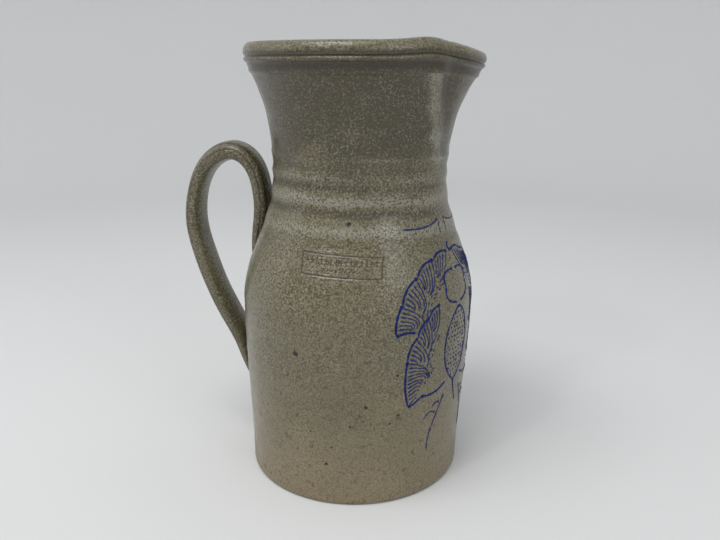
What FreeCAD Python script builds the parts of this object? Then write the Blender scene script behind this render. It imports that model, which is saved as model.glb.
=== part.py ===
import FreeCAD, Part
import math
import os

# Stoneware pitcher: a wheel-thrown jug with a collared rim, a pulled pouring lip and a pulled
# strap handle, joined with slip and decorated with raised cobalt slip lines.
#
# Millimetres, +Z up. The origin is the centre of the flat foot, on the surface it stands on.
# The pouring lip points along +X and the handle stands opposite it, on -X.
# Azimuths are in degrees about +Z, from +X.

# ---- Thrown body -------------------------------------------------------------------------
POT_HEIGHT = 254.0        # foot to the top of the rim
FOOT_RADIUS = 65.2        # wall just above the rounded foot
FOOT_ROUND = 2.4          # rounding of the foot's outer edge
BELLY_RADIUS = 68.9
BELLY_HEIGHT = 108.0
NECK_RADIUS = 50.8
NECK_HEIGHT = 180.0
FLARE_RADIUS = 62.4       # wall where the flare meets the rim's collar
FLARE_POWER = 2.6         # how late the neck opens out
RIM_RADIUS = 66.0         # widest line of the collar
COLLAR_HEIGHT = 15.0      # from the collar's lower edge to the top of the rim
# Outline of the collar from its lower edge up: inset from the widest line, share of its height.
# A hollow under a stepped lower band, a fine groove, then the upper band.
COLLAR_LINE = [
    (2.9, 0.05), (2.4, 0.15), (2.1, 0.27), (0.9, 0.34), (0.4, 0.43),
    (0.2, 0.51), (0.6, 0.56), (0.0, 0.62), (0.05, 0.71),
]
RIM_THICKNESS = 6.8
WALL = 5.4
FLOOR = 8.0
FLOOR_CORNER = 14.0       # inside radius between floor and wall
LEAN = 4.55               # how far the rim's centre stands towards the lip from the foot's centre

# ---- Pouring lip -------------------------------------------------------------------------
LIP_REACH = 3.6           # how far the tip stands out past the collar
LIP_DIP = 5.2             # how far the tip drops below the rim
LIP_HALF_ANGLE = 46.0     # degrees from the tip to where the rim is level again
LIP_SHOULDER = 1.4        # the small rise of the rim on each side of the lip
SHOULDER_SPREAD = 12.0    # degrees
THROAT_HALF_ANGLE = 48.0
THROAT_START = 182.0      # height where the throat of the lip begins
THROAT_POWER = 1.6        # how late the throat and the tip swing out on the way up
TIP_DEPTH = 48.0          # how far below the rim the wall starts to drop towards the tip
FLUTE_ANGLE = 33.0        # the two finger flutes that pinch the throat
FLUTE_DEPTH = 1.3
FLUTE_SPREAD = 7.0        # degrees

# ---- Pulled handle -----------------------------------------------------------------------
HANDLE_AZIMUTH = 180.0
STRAP_WIDTH = 20.0
STRAP_THICKNESS = 10.4
SLIP_LAYER = 0.6          # luting slip between the strap and the wall
SLIP_SQUEEZE = 1.2        # how far the slip shows round the strap
# Centre line, from the upper end pressed on the shoulder, over the arch, to the lower end:
# height, distance out from the pot's wall, share of the strap's width, share of its thickness.
STRAP_LINE = [
    (121.0, -2.2, 0.50, 0.26),
    (131.0, -1.0, 0.80, 0.56),
    (144.0, 1.8, 0.96, 0.86),
    (157.0, 4.6, 1.00, 1.00),
    (169.0, 8.6, 0.98, 1.00),
    (180.0, 12.4, 0.97, 1.02),
    (189.0, 18.6, 0.98, 1.07),
    (192.4, 26.5, 0.98, 1.12),
    (190.4, 35.6, 0.98, 1.12),
    (181.5, 46.0, 0.98, 1.05),
    (165.5, 51.0, 1.00, 1.00),
    (147.0, 46.4, 1.02, 1.02),
    (127.0, 34.6, 1.04, 1.04),
    (106.0, 24.0, 1.06, 1.04),
    (88.0, 15.4, 1.08, 1.00),
    (72.0, 7.6, 1.08, 0.86),
    (56.0, 3.0, 1.00, 0.66),
    (44.0, -0.6, 0.74, 0.44),
    (37.0, -3.0, 0.50, 0.30),
]

# ---- Impressed panel on the shoulder ------------------------------------------------------
PANEL_AZIMUTH = -85.5
PANEL_HEIGHT = 141.0      # height of the panel's centre
PANEL_WIDTH = 44.0
PANEL_RISE = 11.6         # the panel's size up the wall
PANEL_FALL = 0.038        # how far the panel's lines drop for each unit towards the lip
PANEL_LINE = 0.9          # width of the impressed line
PANEL_IMPRESSION = 0.45   # how deep it is pressed
PANEL_NOTCHES = 11        # plain notches in each of two rows
PANEL_MARGIN = 4.0        # from the frame to the first notch of a row
NOTCH_HEIGHT = 1.8
NOTCH_ROWS = (-3.0, 1.2)  # foot of each row, from the panel's centre

# ---- Raised cobalt slip -------------------------------------------------------------------
BLOSSOM_AZIMUTH = -21.0
TRAIL_WIDTH = 1.3
TRAIL_HEIGHT = 0.45
TRAIL_SEAT = 0.01         # clearance under the slip, which lies on the wall
TRAIL_GAP = 1.7           # space left where two trails would run together
POD_HEIGHT = 90.0         # centre of the seed pod
POD_HALF_WIDTH = 12.0
POD_HALF_HEIGHT = 22.5
SEED_ROWS = 5
SEED_ROW_GAP = 7.0        # from one row of seeds to the next
SEED_LENGTH = 1.4
SEED_SPREAD = 5.4         # from the middle seed to its neighbours
SEED_OFFSET = 3.6         # seeds of the rows between stand this far from the middle
SCALLOP_BULGE_UPPER = 4.4
SCALLOP_BULGE_LOWER = 3.4
VEIN_SHARES = (0.32, 0.68)  # where the veins start, as shares of a scallop
VEIN_REACH_UPPER = 0.5    # how far the veins run towards the petal's root
VEIN_REACH_LOWER = 0.5
VEIN_BEND = 1.2

# ---- How finely the shapes are drawn ------------------------------------------------------
RINGS = 72                # points round each ring of the body
WALL_ROWS = 34            # rings up the outer wall
INSIDE_ROWS = 24          # rings down the inner wall
CORE_ROWS = 30
EASE = 0.6                # space between the wall's last ring and the collar's first
STRAP_RINGS = 20
STRAP_ROWS = 44
PROBE = 0.01              # step for measuring slopes
SEWING = 1e-5             # how closely the faces of a solid meet
INSIDE = 0.3              # how far a cutting tool runs past the face that it cuts


def smooth(value):
    """Ease from 0 to 1 with level ends."""
    held = min(max(value, 0.0), 1.0)
    return (1.0 - math.cos(math.pi * held)) / 2.0


def wall_radius(height):
    """Outer radius of the thrown wall between the foot and the collar."""
    collar = POT_HEIGHT - COLLAR_HEIGHT
    if height <= BELLY_HEIGHT:
        return FOOT_RADIUS + (BELLY_RADIUS - FOOT_RADIUS) * smooth(height / BELLY_HEIGHT)
    if height <= NECK_HEIGHT:
        share = smooth((height - BELLY_HEIGHT) / (NECK_HEIGHT - BELLY_HEIGHT))
        return BELLY_RADIUS + (NECK_RADIUS - BELLY_RADIUS) * share
    share = (height - NECK_HEIGHT) / (collar - NECK_HEIGHT)
    return NECK_RADIUS + (FLARE_RADIUS - NECK_RADIUS) * share ** FLARE_POWER


def wall_slope(height):
    """Change of the wall's radius for each millimetre of height."""
    return (wall_radius(height + PROBE) - wall_radius(height - PROBE)) / (2.0 * PROBE)


def spread(low, high, count):
    """Evenly spaced values from low to high."""
    return [low + (high - low) * step / (count - 1) for step in range(count)]


def lean(height):
    """How far the pot's axis has moved towards the lip at a height."""
    return LEAN * height / POT_HEIGHT


def lip_rise(height, start):
    """Share of the lip's shaping at a height: none at the start, all of it at the rim."""
    return min(max((height - start) / (POT_HEIGHT - start), 0.0), 1.0)


def shaped(azimuth, radius, height):
    """A point of the body after the lip is pulled and the pot has leaned."""
    turn = abs((azimuth + 180.0) % 360.0 - 180.0)
    throat = math.cos(math.pi / 2.0 * min(turn / THROAT_HALF_ANGLE, 1.0)) ** 2
    mouth = math.cos(math.pi / 2.0 * min(turn / LIP_HALF_ANGLE, 1.0)) ** 2
    flute = math.exp(-((turn - FLUTE_ANGLE) / FLUTE_SPREAD) ** 2)
    shoulder = math.exp(-((turn - LIP_HALF_ANGLE) / SHOULDER_SPREAD) ** 2)
    drawn = lip_rise(height, THROAT_START)
    tipped = lip_rise(height, POT_HEIGHT - TIP_DEPTH)
    out = LIP_REACH * throat * drawn ** THROAT_POWER - FLUTE_DEPTH * flute * smooth(THROAT_POWER * drawn)
    drop = (LIP_DIP * mouth - LIP_SHOULDER * shoulder) * tipped ** THROAT_POWER
    angle = math.radians(azimuth)
    reach = radius + out
    return FreeCAD.Vector(
        reach * math.cos(angle) + lean(height),
        reach * math.sin(angle),
        height - drop,
    )


def arc_points(centre, radius, start, end, count):
    """Points (radius, height) on an arc of the profile."""
    turns = [math.radians(turn) for turn in spread(start, end, count)]
    return [(centre[0] + radius * math.cos(t), centre[1] + radius * math.sin(t)) for t in turns]


def body_profile():
    """Profile of the body: outside wall, collar and rim, inside wall and floor corner."""
    collar = POT_HEIGHT - COLLAR_HEIGHT
    foot = arc_points((wall_radius(FOOT_ROUND) - FOOT_ROUND, FOOT_ROUND), FOOT_ROUND, -90.0, 0.0, 4)
    outside = [(wall_radius(z), z) for z in spread(3.0 * FOOT_ROUND, collar - EASE, WALL_ROWS)]
    band = [(RIM_RADIUS - inset, collar + share * COLLAR_HEIGHT) for inset, share in COLLAR_LINE]
    half = RIM_THICKNESS / 2.0
    top = arc_points((RIM_RADIUS - half, POT_HEIGHT - half), half, 15.0, 180.0, 7)
    floor_wall = FLOOR + FLOOR_CORNER
    inside = [(wall_radius(z) - WALL, z) for z in spread(collar - EASE, floor_wall, INSIDE_ROWS)]
    corner_radius = wall_radius(floor_wall) - WALL - FLOOR_CORNER
    corner = arc_points((corner_radius, floor_wall), FLOOR_CORNER, 0.0, -90.0, 6)[1:]
    return [foot + outside, band + top, inside, corner]


def chord_parameters(points):
    """Parameters from 0 to 1 in step with the distance along a row of points."""
    runs = [0.0]
    for first, second in zip(points, points[1:]):
        runs.append(runs[-1] + first.distanceToPoint(second))
    return [run / runs[-1] for run in runs]


def skin(rows, parameters):
    """Smooth surface through closed rings of points, one ring for each parameter."""
    count = len(rows[0])
    turns = [step / count for step in range(count + 1)]
    ring_poles = []
    for row in rows:
        ring = Part.BSplineCurve()
        ring.interpolate(Points=row, Parameters=turns, PeriodicFlag=True)
        ring_poles.append(ring.getPoles())
    columns = []
    for index in range(len(ring_poles[0])):
        column = Part.BSplineCurve()
        column.interpolate(Points=[poles[index] for poles in ring_poles], Parameters=parameters)
        columns.append(column.getPoles())
    surface = Part.BSplineSurface()
    surface.buildFromPolesMultsKnots(
        columns,
        ring.getMultiplicities(),
        column.getMultiplicities(),
        ring.getKnots(),
        column.getKnots(),
        True,
        False,
        ring.Degree,
        column.Degree,
    )
    return surface


def bands(surface, limits):
    """Faces of a skin between neighbouring limits along it."""
    faces = []
    around = surface.bounds()
    for low, high in zip(limits, limits[1:]):
        band = surface.copy()
        band.segment(around[0], around[1], low, high)
        faces.append(band.toShape())
    return faces


def flat_end(face, point):
    """Flat face that closes the end ring of a skin nearest to a point."""
    vertex = Part.Vertex(point)
    rings = [edge for edge in face.Edges if edge.isClosed()]
    ring = min(rings, key=lambda edge: edge.distToShape(vertex)[0])
    return Part.Face(Part.Wire([ring]))


def closed_solid(rows, parameters, breaks):
    """Solid inside a skin whose two end rings are flat, with its faces parted at the breaks."""
    limits = [parameters[0]] + [parameters[row] for row in breaks] + [parameters[-1]]
    faces = bands(skin(rows, parameters), limits)
    ends = [flat_end(faces[0], rows[0][0]), flat_end(faces[-1], rows[-1][0])]
    shell = Part.Shell(faces + ends)
    shell.sewShape()
    solid = Part.Solid(shell)
    solid.fix(SEWING, SEWING, SEWING)
    return solid


def ring_azimuths():
    """Azimuths of the points of one ring, with the seam under the handle."""
    return [HANDLE_AZIMUTH + 360.0 * step / RINGS for step in range(RINGS)]


def make_body():
    """The thrown, hollow body with its collar and lip."""
    stretches = body_profile()
    profile = [place for stretch in stretches for place in stretch]
    breaks = []
    for stretch in stretches[:-1]:
        breaks.append(len(stretch) + (breaks[-1] if breaks else 0))
    rows = [[shaped(azimuth, radius, height) for azimuth in ring_azimuths()] for radius, height in profile]
    base_line = [FreeCAD.Vector(radius, 0.0, height) for radius, height in profile]
    return closed_solid(rows, chord_parameters(base_line), breaks)


def make_core(lift):
    """Solid plug out to the wall's outer face plus a lift, for cutting what seats on the wall."""
    low = 4.0 * FOOT_ROUND
    high = POT_HEIGHT - TIP_DEPTH - INSIDE
    rows = []
    for height in spread(low, high, CORE_ROWS):
        radius = wall_radius(height) + lift * math.hypot(1.0, wall_slope(height))
        rows.append([shaped(azimuth, radius, height) for azimuth in ring_azimuths()])
    heights = [FreeCAD.Vector(0.0, 0.0, height) for height in spread(low, high, CORE_ROWS)]
    return closed_solid(rows, chord_parameters(heights), [len(rows) // 2])


def make_strap(extra):
    """The strap of the handle, thicker all round by an extra."""
    line = Part.BSplineCurve()
    sizes = Part.BSplineCurve()
    stations = [FreeCAD.Vector(wall_radius(row[0]) + row[1], 0.0, row[0]) for row in STRAP_LINE]
    along = chord_parameters(stations)
    shares = [FreeCAD.Vector(row[2], row[3], place) for row, place in zip(STRAP_LINE, along)]
    line.interpolate(Points=stations, Parameters=along)
    sizes.interpolate(Points=shares, Parameters=along)
    turn = math.radians(HANDLE_AZIMUTH)
    outward = FreeCAD.Vector(math.cos(turn), math.sin(turn), 0.0)
    sideways = FreeCAD.Vector(-math.sin(turn), math.cos(turn), 0.0)
    upward = FreeCAD.Vector(0.0, 0.0, 1.0)
    rows = []
    parameters = spread(0.0, 1.0, STRAP_ROWS)
    for parameter in parameters:
        centre = line.value(parameter)
        tangent = line.tangent(parameter)[0]
        share = sizes.value(parameter)
        half_width = STRAP_WIDTH * share.x / 2.0 + extra
        half_thickness = STRAP_THICKNESS * share.y / 2.0 + extra
        across = outward * tangent.z - upward * tangent.x
        start = outward * centre.x + upward * centre.z + FreeCAD.Vector(lean(centre.z), 0.0, 0.0)
        ring = []
        for step in range(STRAP_RINGS):
            angle = 2.0 * math.pi * step / STRAP_RINGS
            ring.append(
                start
                + across * (half_thickness * math.cos(angle))
                + sideways * (half_width * math.sin(angle))
            )
        rows.append(ring)
    return closed_solid(rows, parameters, [STRAP_ROWS // 3, 2 * STRAP_ROWS // 3])


def on_wall(azimuth, height, lift):
    """Point on the outer wall, lifted square to it."""
    slope = wall_slope(height)
    length = math.hypot(1.0, slope)
    return shaped(azimuth, wall_radius(height) + lift / length, height - lift * slope / length)


def wall_path(centre_azimuth, points):
    """Turn (across, up) places round a centre azimuth into (azimuth, height) places."""
    return [
        (centre_azimuth + math.degrees(across / wall_radius(height)), height)
        for across, height in points
    ]


def trail(path, width, low, high):
    """Solid band that follows a path over the wall between two lifts."""
    wires = []
    last = len(path) - 1
    for index, (azimuth, height) in enumerate(path):
        before = on_wall(*path[max(index - 1, 0)], 0.0)
        after = on_wall(*path[min(index + 1, last)], 0.0)
        forward = (after - before).normalize()
        normal = (on_wall(azimuth, height, 1.0) - on_wall(azimuth, height, 0.0)).normalize()
        side = normal.cross(forward) * (width / 2.0)
        foot = on_wall(azimuth, height, low)
        top = on_wall(azimuth, height, high)
        corners = [foot - side, foot + side, top + side, top - side]
        wires.append(Part.makePolygon(corners + corners[:1]))
    return Part.makeLoft(wires, True, False)


def curve(start, bend, end, count=5):
    """Points (across, up) on a bent line from start to end, pulled towards bend."""
    points = []
    for share in spread(0.0, 1.0, count):
        back = 1.0 - share
        points.append(tuple(
            back * back * a + 2.0 * back * share * b + share * share * c
            for a, b, c in zip(start, bend, end)
        ))
    return points


def shortened(points, gap):
    """The same line with a gap left off each end."""
    length = sum(math.dist(a, b) for a, b in zip(points, points[1:]))
    cut = gap / length
    first = tuple(a + (b - a) * cut * (len(points) - 1) for a, b in zip(points[0], points[1]))
    final = tuple(a + (b - a) * cut * (len(points) - 1) for a, b in zip(points[-1], points[-2]))
    return [first] + points[1:-1] + [final]


def mirrored(lines):
    """Lines and their copies on the other side of the blossom's middle."""
    return lines + [[(-across, up) for across, up in line] for line in lines]


def petal_edge(knots, bulge):
    """Scallops between the knots of a petal's edge, each bent outwards by a bulge."""
    lines = []
    for first, second in zip(knots, knots[1:]):
        span = math.dist(first, second)
        middle = ((first[0] + second[0]) / 2.0, (first[1] + second[1]) / 2.0)
        outward = ((first[1] - second[1]) / span, (second[0] - first[0]) / span)
        bend = (middle[0] + outward[0] * bulge, middle[1] + outward[1] * bulge)
        lines.append(shortened(curve(first, bend, second), TRAIL_GAP / 2.0))
    return lines


def petal_veins(knots, root, depth):
    """Two bent veins inside each scallop, drawn towards the petal's root."""
    lines = []
    for first, second in zip(knots, knots[1:]):
        for share in VEIN_SHARES:
            start = tuple(a + (b - a) * share for a, b in zip(first, second))
            end = tuple(a + (b - a) * depth for a, b in zip(start, root))
            bend = ((start[0] + end[0]) / 2.0, (start[1] + end[1]) / 2.0 + VEIN_BEND)
            lines.append(curve(start, bend, end, 4))
    return lines


# The petals' edges on one side of the pod: (across, up) in millimetres.
UPPER_PETAL = [(2.0, 143.0), (15.5, 141.0), (29.5, 133.5), (41.5, 121.0), (46.0, 104.0)]
UPPER_ROOT = (20.0, 110.0)
LOWER_PETAL = [(17.5, 117.0), (25.5, 112.0), (33.0, 101.5), (38.5, 88.5), (40.0, 74.5), (36.0, 60.5)]
LOWER_ROOT = (16.0, 82.0)


def blossom_lines():
    """Every line of the cobalt decoration, in named groups of (across, up) lines."""
    edges = petal_edge(UPPER_PETAL, SCALLOP_BULGE_UPPER) + petal_edge(LOWER_PETAL, SCALLOP_BULGE_LOWER)
    edges.append(curve((44.3, 103.4), (40.0, 106.5), (36.0, 104.6)))
    edges.append(curve((35.0, 59.6), (32.0, 61.0), (28.4, 64.6)))
    edges.append(curve((26.4, 65.0), (18.0, 63.0), (9.5, 68.5)))
    veins = petal_veins(UPPER_PETAL, UPPER_ROOT, VEIN_REACH_UPPER)
    veins += petal_veins(LOWER_PETAL, LOWER_ROOT, VEIN_REACH_LOWER)
    pod = []
    for low, high in ((20.0, 160.0), (200.0, 340.0)):
        turns = [math.radians(turn) for turn in spread(low, high, 9)]
        side = [(POD_HALF_WIDTH * math.sin(t), POD_HEIGHT + POD_HALF_HEIGHT * math.cos(t)) for t in turns]
        pod.append(side)
    seeds = []
    half = SEED_LENGTH / 2.0
    for row in range(SEED_ROWS):
        up = POD_HEIGHT + SEED_ROW_GAP * (row - (SEED_ROWS - 1) / 2.0)
        places = (-SEED_OFFSET, SEED_OFFSET) if row % 2 else (-SEED_SPREAD, 0.0, SEED_SPREAD)
        for across in places:
            seeds.append([(across - half, up), (across, up), (across + half, up)])
    bud = mirrored([
        curve((1.5, 133.5), (11.0, 133.0), (7.5, 124.0)),
        curve((7.2, 122.2), (8.5, 116.0), (1.6, 115.6)),
    ])
    sprigs = mirrored([
        curve((3.5, 160.5), (13.0, 157.5), (25.0, 157.5), 11),
        curve((2.6, 158.5), (4.0, 156.0), (3.0, 152.5)),
        curve((9.0, 59.0), (13.5, 52.0), (17.0, 43.0)),
        curve((17.8, 40.5), (20.5, 34.0), (19.5, 27.5)),
        curve((16.2, 51.5), (20.0, 55.0), (24.0, 49.5)),
    ])
    return {
        "cobalt_petal_edges": mirrored(edges),
        "cobalt_petal_veins": mirrored(veins),
        "cobalt_seed_pod": pod + bud,
        "cobalt_seeds": seeds,
        "cobalt_sprigs": sprigs,
    }


def panel_marks():
    """Lines of the impressed panel: its frame and two rows of plain notches."""
    half = PANEL_WIDTH / 2.0
    low = PANEL_HEIGHT - PANEL_RISE / 2.0
    high = PANEL_HEIGHT + PANEL_RISE / 2.0
    inset = PANEL_LINE
    lines = []
    for up in (low, high):
        lines.append([(across, up) for across in spread(-half, half, 7)])
    for across in (-half, half):
        lines.append([(across, up) for up in spread(low + inset, high - inset, 3)])
    for row in NOTCH_ROWS:
        up = PANEL_HEIGHT + row
        for across in spread(-half + PANEL_MARGIN, half - PANEL_MARGIN, PANEL_NOTCHES):
            lines.append([(across, place) for place in spread(up, up + NOTCH_HEIGHT, 3)])
    return [[(across, up - PANEL_FALL * across) for across, up in line] for line in lines]


def impress_panel(body):
    """Press the panel's lines into the wall."""
    tools = []
    for line in panel_marks():
        path = wall_path(PANEL_AZIMUTH, line)
        tools.append(trail(path, PANEL_LINE, -PANEL_IMPRESSION, INSIDE))
    return body.cut(Part.makeCompound(tools))


def split_by_height(shape):
    """Solids of a shape, highest first."""
    return sorted(shape.Solids, key=lambda solid: -solid.CenterOfMass.z)


def build_nodes():
    """Every node of the pitcher, by name."""
    blank = make_body()
    seat = make_core(SLIP_LAYER)
    slips = split_by_height(make_strap(SLIP_SQUEEZE).common(seat).cut(blank).cut(make_core(-WALL / 2.0)))
    nodes = {
        "thrown_body": impress_panel(blank),
        "pulled_handle": split_by_height(make_strap(0.0).cut(seat))[0],
        "upper_luting_slip": slips[0],
        "lower_luting_slip": slips[-1],
    }
    for name, lines in blossom_lines().items():
        solids = []
        for line in lines:
            path = wall_path(BLOSSOM_AZIMUTH, line)
            solids.append(trail(path, TRAIL_WIDTH, TRAIL_SEAT, TRAIL_HEIGHT))
        nodes[name] = Part.makeCompound(solids)
    return nodes


def main():
    """Build every node and write each to its own file."""
    os.makedirs("parts", exist_ok=True)
    for name, shape in build_nodes().items():
        shape.exportStep(os.path.join("parts", name + ".step"))
        box = shape.BoundBox
        print(
            name, shape.isValid(), len(shape.Solids), round(shape.Volume, 1),
            [round(value, 1) for value in (box.XMin, box.YMin, box.ZMin, box.XMax, box.YMax, box.ZMax)],
        )


main()
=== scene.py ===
"""Salt-glazed stoneware pitcher: its finished look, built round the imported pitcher.

Metres, +Z up. The origin is the centre of the foot, the pouring lip points along +X and the
handle stands on -X. Azimuths are in degrees about +Z, from +X.
"""

import math
import random

import bpy
import numpy as np
from bpy.props import FloatProperty, FloatVectorProperty, PointerProperty
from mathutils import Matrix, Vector
from mathutils.bvhtree import BVHTree


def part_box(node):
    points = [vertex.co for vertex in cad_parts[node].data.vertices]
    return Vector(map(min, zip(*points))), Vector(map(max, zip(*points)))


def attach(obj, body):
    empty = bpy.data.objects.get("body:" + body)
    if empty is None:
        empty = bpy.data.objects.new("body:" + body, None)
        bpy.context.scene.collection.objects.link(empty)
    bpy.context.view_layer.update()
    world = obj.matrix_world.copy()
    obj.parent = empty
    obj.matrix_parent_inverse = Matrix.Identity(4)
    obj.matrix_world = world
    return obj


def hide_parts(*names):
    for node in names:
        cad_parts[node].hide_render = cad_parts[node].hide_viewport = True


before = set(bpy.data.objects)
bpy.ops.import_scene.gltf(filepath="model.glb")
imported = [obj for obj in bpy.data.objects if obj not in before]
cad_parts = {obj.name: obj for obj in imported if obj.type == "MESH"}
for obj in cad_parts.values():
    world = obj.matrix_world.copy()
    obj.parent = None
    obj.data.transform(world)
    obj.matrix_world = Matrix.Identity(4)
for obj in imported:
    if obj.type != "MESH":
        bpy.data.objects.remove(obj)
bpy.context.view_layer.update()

bl_info = {
    "name": "Salt-glazed pitcher",
    "version": (1, 0, 0),
    "blender": (4, 5, 0),
    "location": "View3D > Sidebar > Pitcher",
    "description": "Builds a thrown stoneware pitcher with a pulled handle and a cobalt blossom",
    "category": "Add Mesh",
}

MM = 0.001
BODY_LOW, BODY_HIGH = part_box("thrown_body")

# ---- Thrown body ---------------------------------------------------------------------------
LIP_SHOULDER = 1.4 * MM      # small rise of the rim on each side of the lip
SHOULDER_SPREAD = 12.0       # degrees
FOOT_ROUND = 2.4 * MM        # rounding of the foot's outer edge
FOOT_TURN = -75.0            # degrees from level where that rounding starts
FLARE_POWER = 2.6            # how late the neck opens out
COLLAR_HEIGHT = 15.0 * MM    # from the collar's lower edge to the top of the rim
FLOOR_THICKNESS = 8.0 * MM
FLOOR_CORNER = 14.0 * MM     # inside radius between floor and wall
FLOOR_MIDDLE = 1.5 * MM      # radius of the floor's innermost row
FLOOR_RING = 0.5 * MM        # height of the throwing rings on the floor
FLOOR_RING_GAP = 16.0 * MM
FLOOR_RING_WIDTH = 3.0 * MM
LIP_HALF_ANGLE = 46.0        # degrees from the tip to where the rim is level again
THROAT_HALF_ANGLE = 48.0
THROAT_START = 182.0 * MM    # height where the throat of the lip begins
THROAT_POWER = 1.6           # how late the throat and the tip swing out on the way up
TIP_DEPTH = 48.0 * MM        # how far below the rim the wall starts to drop towards the tip
FLUTE_ANGLE = 29.5           # the two finger flutes that pinch the throat
FLUTE_SPREAD = 6.0
FLUTE_START = 0.2            # share of the way up the throat where they begin
FLUTE_SPEED = 1.7            # how soon they reach their full depth
RIDGE_ANGLE = 40.0           # the ridge the finger pushes up behind each flute
RIDGE_SPREAD = 5.0
RIDGE_SPEED = 4.0
RIDGE_SHARE = 0.3            # height of that ridge as a share of the flute's depth
THROAT_SWAY = 26.0           # degrees the flutes spread apart from the neck to the rim
THROAT_LEVEL = 0.78          # share of the way up where they stand at their own angles
THROAT_FADE = 0.72           # how far the flutes fade out on the collar
FADE_START = 2.0 * MM        # how far below the collar they start to fade
FADE_RISE = 9.0 * MM         # and over what height
PROBE = 0.01 * MM            # step for measuring slopes

# Throwing rings left by the fingers: height and half width in millimetres, and how far out (+)
# or in (-) each one goes, as a share of the ring depth.
RINGS = [
    (30.0, 3.0, -0.12), (44.0, 4.0, 0.12), (58.0, 2.0, -0.14), (66.0, 2.6, 0.16), (72.5, 1.3, -0.34),
    (76.0, 1.6, 0.26), (80.5, 1.2, -0.26), (92.0, 4.0, 0.14), (104.0, 2.4, -0.15), (113.0, 3.6, 0.16),
    (124.0, 2.2, -0.22), (131.0, 2.4, 0.2), (149.5, 2.6, -0.42), (156.5, 3.6, 0.85), (165.8, 2.6, -0.95),
    (172.2, 2.9, 1.0), (179.0, 2.3, -0.85), (183.8, 1.7, 0.7), (188.6, 2.6, -0.8), (194.2, 1.2, 0.6),
    (199.0, 2.4, -0.3), (207.0, 3.0, 0.16), (216.0, 2.6, -0.16), (226.0, 3.4, 0.12),
]
RING_SPIRAL = 2.2 * MM       # how far a ring climbs round the pot
RING_EVEN = 0.82             # how strongly every ring shows all round the pot
RING_PATCH = 0.18            # and how much more or less in patches
PATCH_TURNS = 1.7
PATCH_HEIGHT = 9.0 * MM
RING_START = 8.0 * MM        # the rings grow over this height above the foot
RING_END = 10.0 * MM         # and die away over this height below the collar
FINE_PITCH = 1.9 * MM        # fine lines between the rings
FINE_SHARE = 0.12
WOBBLE = 0.22 * MM           # how far the pot is out of round
WOBBLE_TWIST = 18.0          # radians it turns for each metre up
WOBBLE_START = 30.0 * MM     # it grows over this height above the foot

# Outline of the collar from its lower edge up, in millimetres: (inset from its widest line,
# depth below the rim).
COLLAR_LINE = [
    (3.6, 16.0), (3.1, 15.3), (2.8, 14.8), (2.85, 14.2), (2.7, 13.4), (2.35, 12.2), (1.9, 11.1),
    (1.35, 10.3), (0.6, 9.8), (0.25, 9.2), (0.2, 8.5), (0.45, 7.95), (0.95, 7.6), (0.95, 7.2),
    (0.45, 6.8), (0.12, 6.1), (0.0, 5.1), (0.1, 4.0),
]
RIM_ROLL = 4.0 * MM          # the outer roll of the rim: how far in it reaches
RIM_FALL = 5.0 * MM          # and how far down
RIM_TURN = 20.0              # degrees from level where that roll starts

# Where brown glaze gathers on the collar and where shade is painted into its undercut and its
# incised line, in millimetres: (depth below the rim, half width), and its strength.
COLLAR_STAINS_AND_SHADE = [(12.0, 2.3, 0.95), (7.3, 0.5, 1.0), (5.8, 1.1, 0.75)]
# Pale glaze on the ridges beside the flutes, partly a painted highlight.
RIDGE_ASH_AND_HIGHLIGHT = 0.9              # how pale the ridges beside the flutes are
# The flutes are darkened with painted shade.
FLUTE_SHADE = 0.5            # how brown the flutes are
# The foot from its middle outwards, in millimetres: (radius, height). It is a little hollow.
FOOT_LINE = [(10.0, 0.7), (30.0, 0.7), (48.0, 0.6), (56.0, 0.45), (59.0, 0.1), (60.2, 0.0), (62.4, 0.0)]

COLUMNS = 288                # points round each row of the body
FOOT_ROWS = 6
WALL_ROWS = 138
WALL_START = 1.6             # the wall's first row, in radii of the foot's rounding
WALL_EASE = 1.4 * MM         # space between the wall's last row and the collar
COLLAR_ROWS = 40
RIM_ROWS = 14
INSIDE_ROWS = 48
CORNER_ROWS = 8
FLOOR_ROWS = 9

# ---- Impressed panel -----------------------------------------------------------------------
PANEL_AZIMUTH = -85.5
PANEL_HEIGHT = 141.0 * MM
PANEL_WIDTH = 44.0 * MM
PANEL_RISE = 11.6 * MM
PANEL_FALL = 0.038           # drop of the panel's lines for each unit towards the lip
PANEL_PARTS = 6              # finer cells of the wall in the panel
PANEL_LINE = 0.34 * MM       # half the width of a pressed line
PANEL_BURR = 0.22            # clay raised beside a line, as a share of its depth
BURR_PLACE = 2.4             # how far out it is raised, in half widths of the line
PANEL_MARGIN = 1.2 * MM      # how far the finer cells reach past the frame
# Upright tallies, some crossed by a short bar: sizes, from the panel's centre.
TALLIES = 15
TALLY_GAP = 2.7 * MM
TALLY_FOOT = 0.7 * MM
TALLY_RISE = 2.6 * MM
BAR_EVERY = 3
BAR_HALF = 0.8 * MM
# Slanting dashes below them.
DASHES = 9
DASH_GAP = 2.4 * MM
DASH_HALF = 0.5 * MM
DASH_LOW = -2.9 * MM
DASH_HIGH = -2.1 * MM

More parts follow.
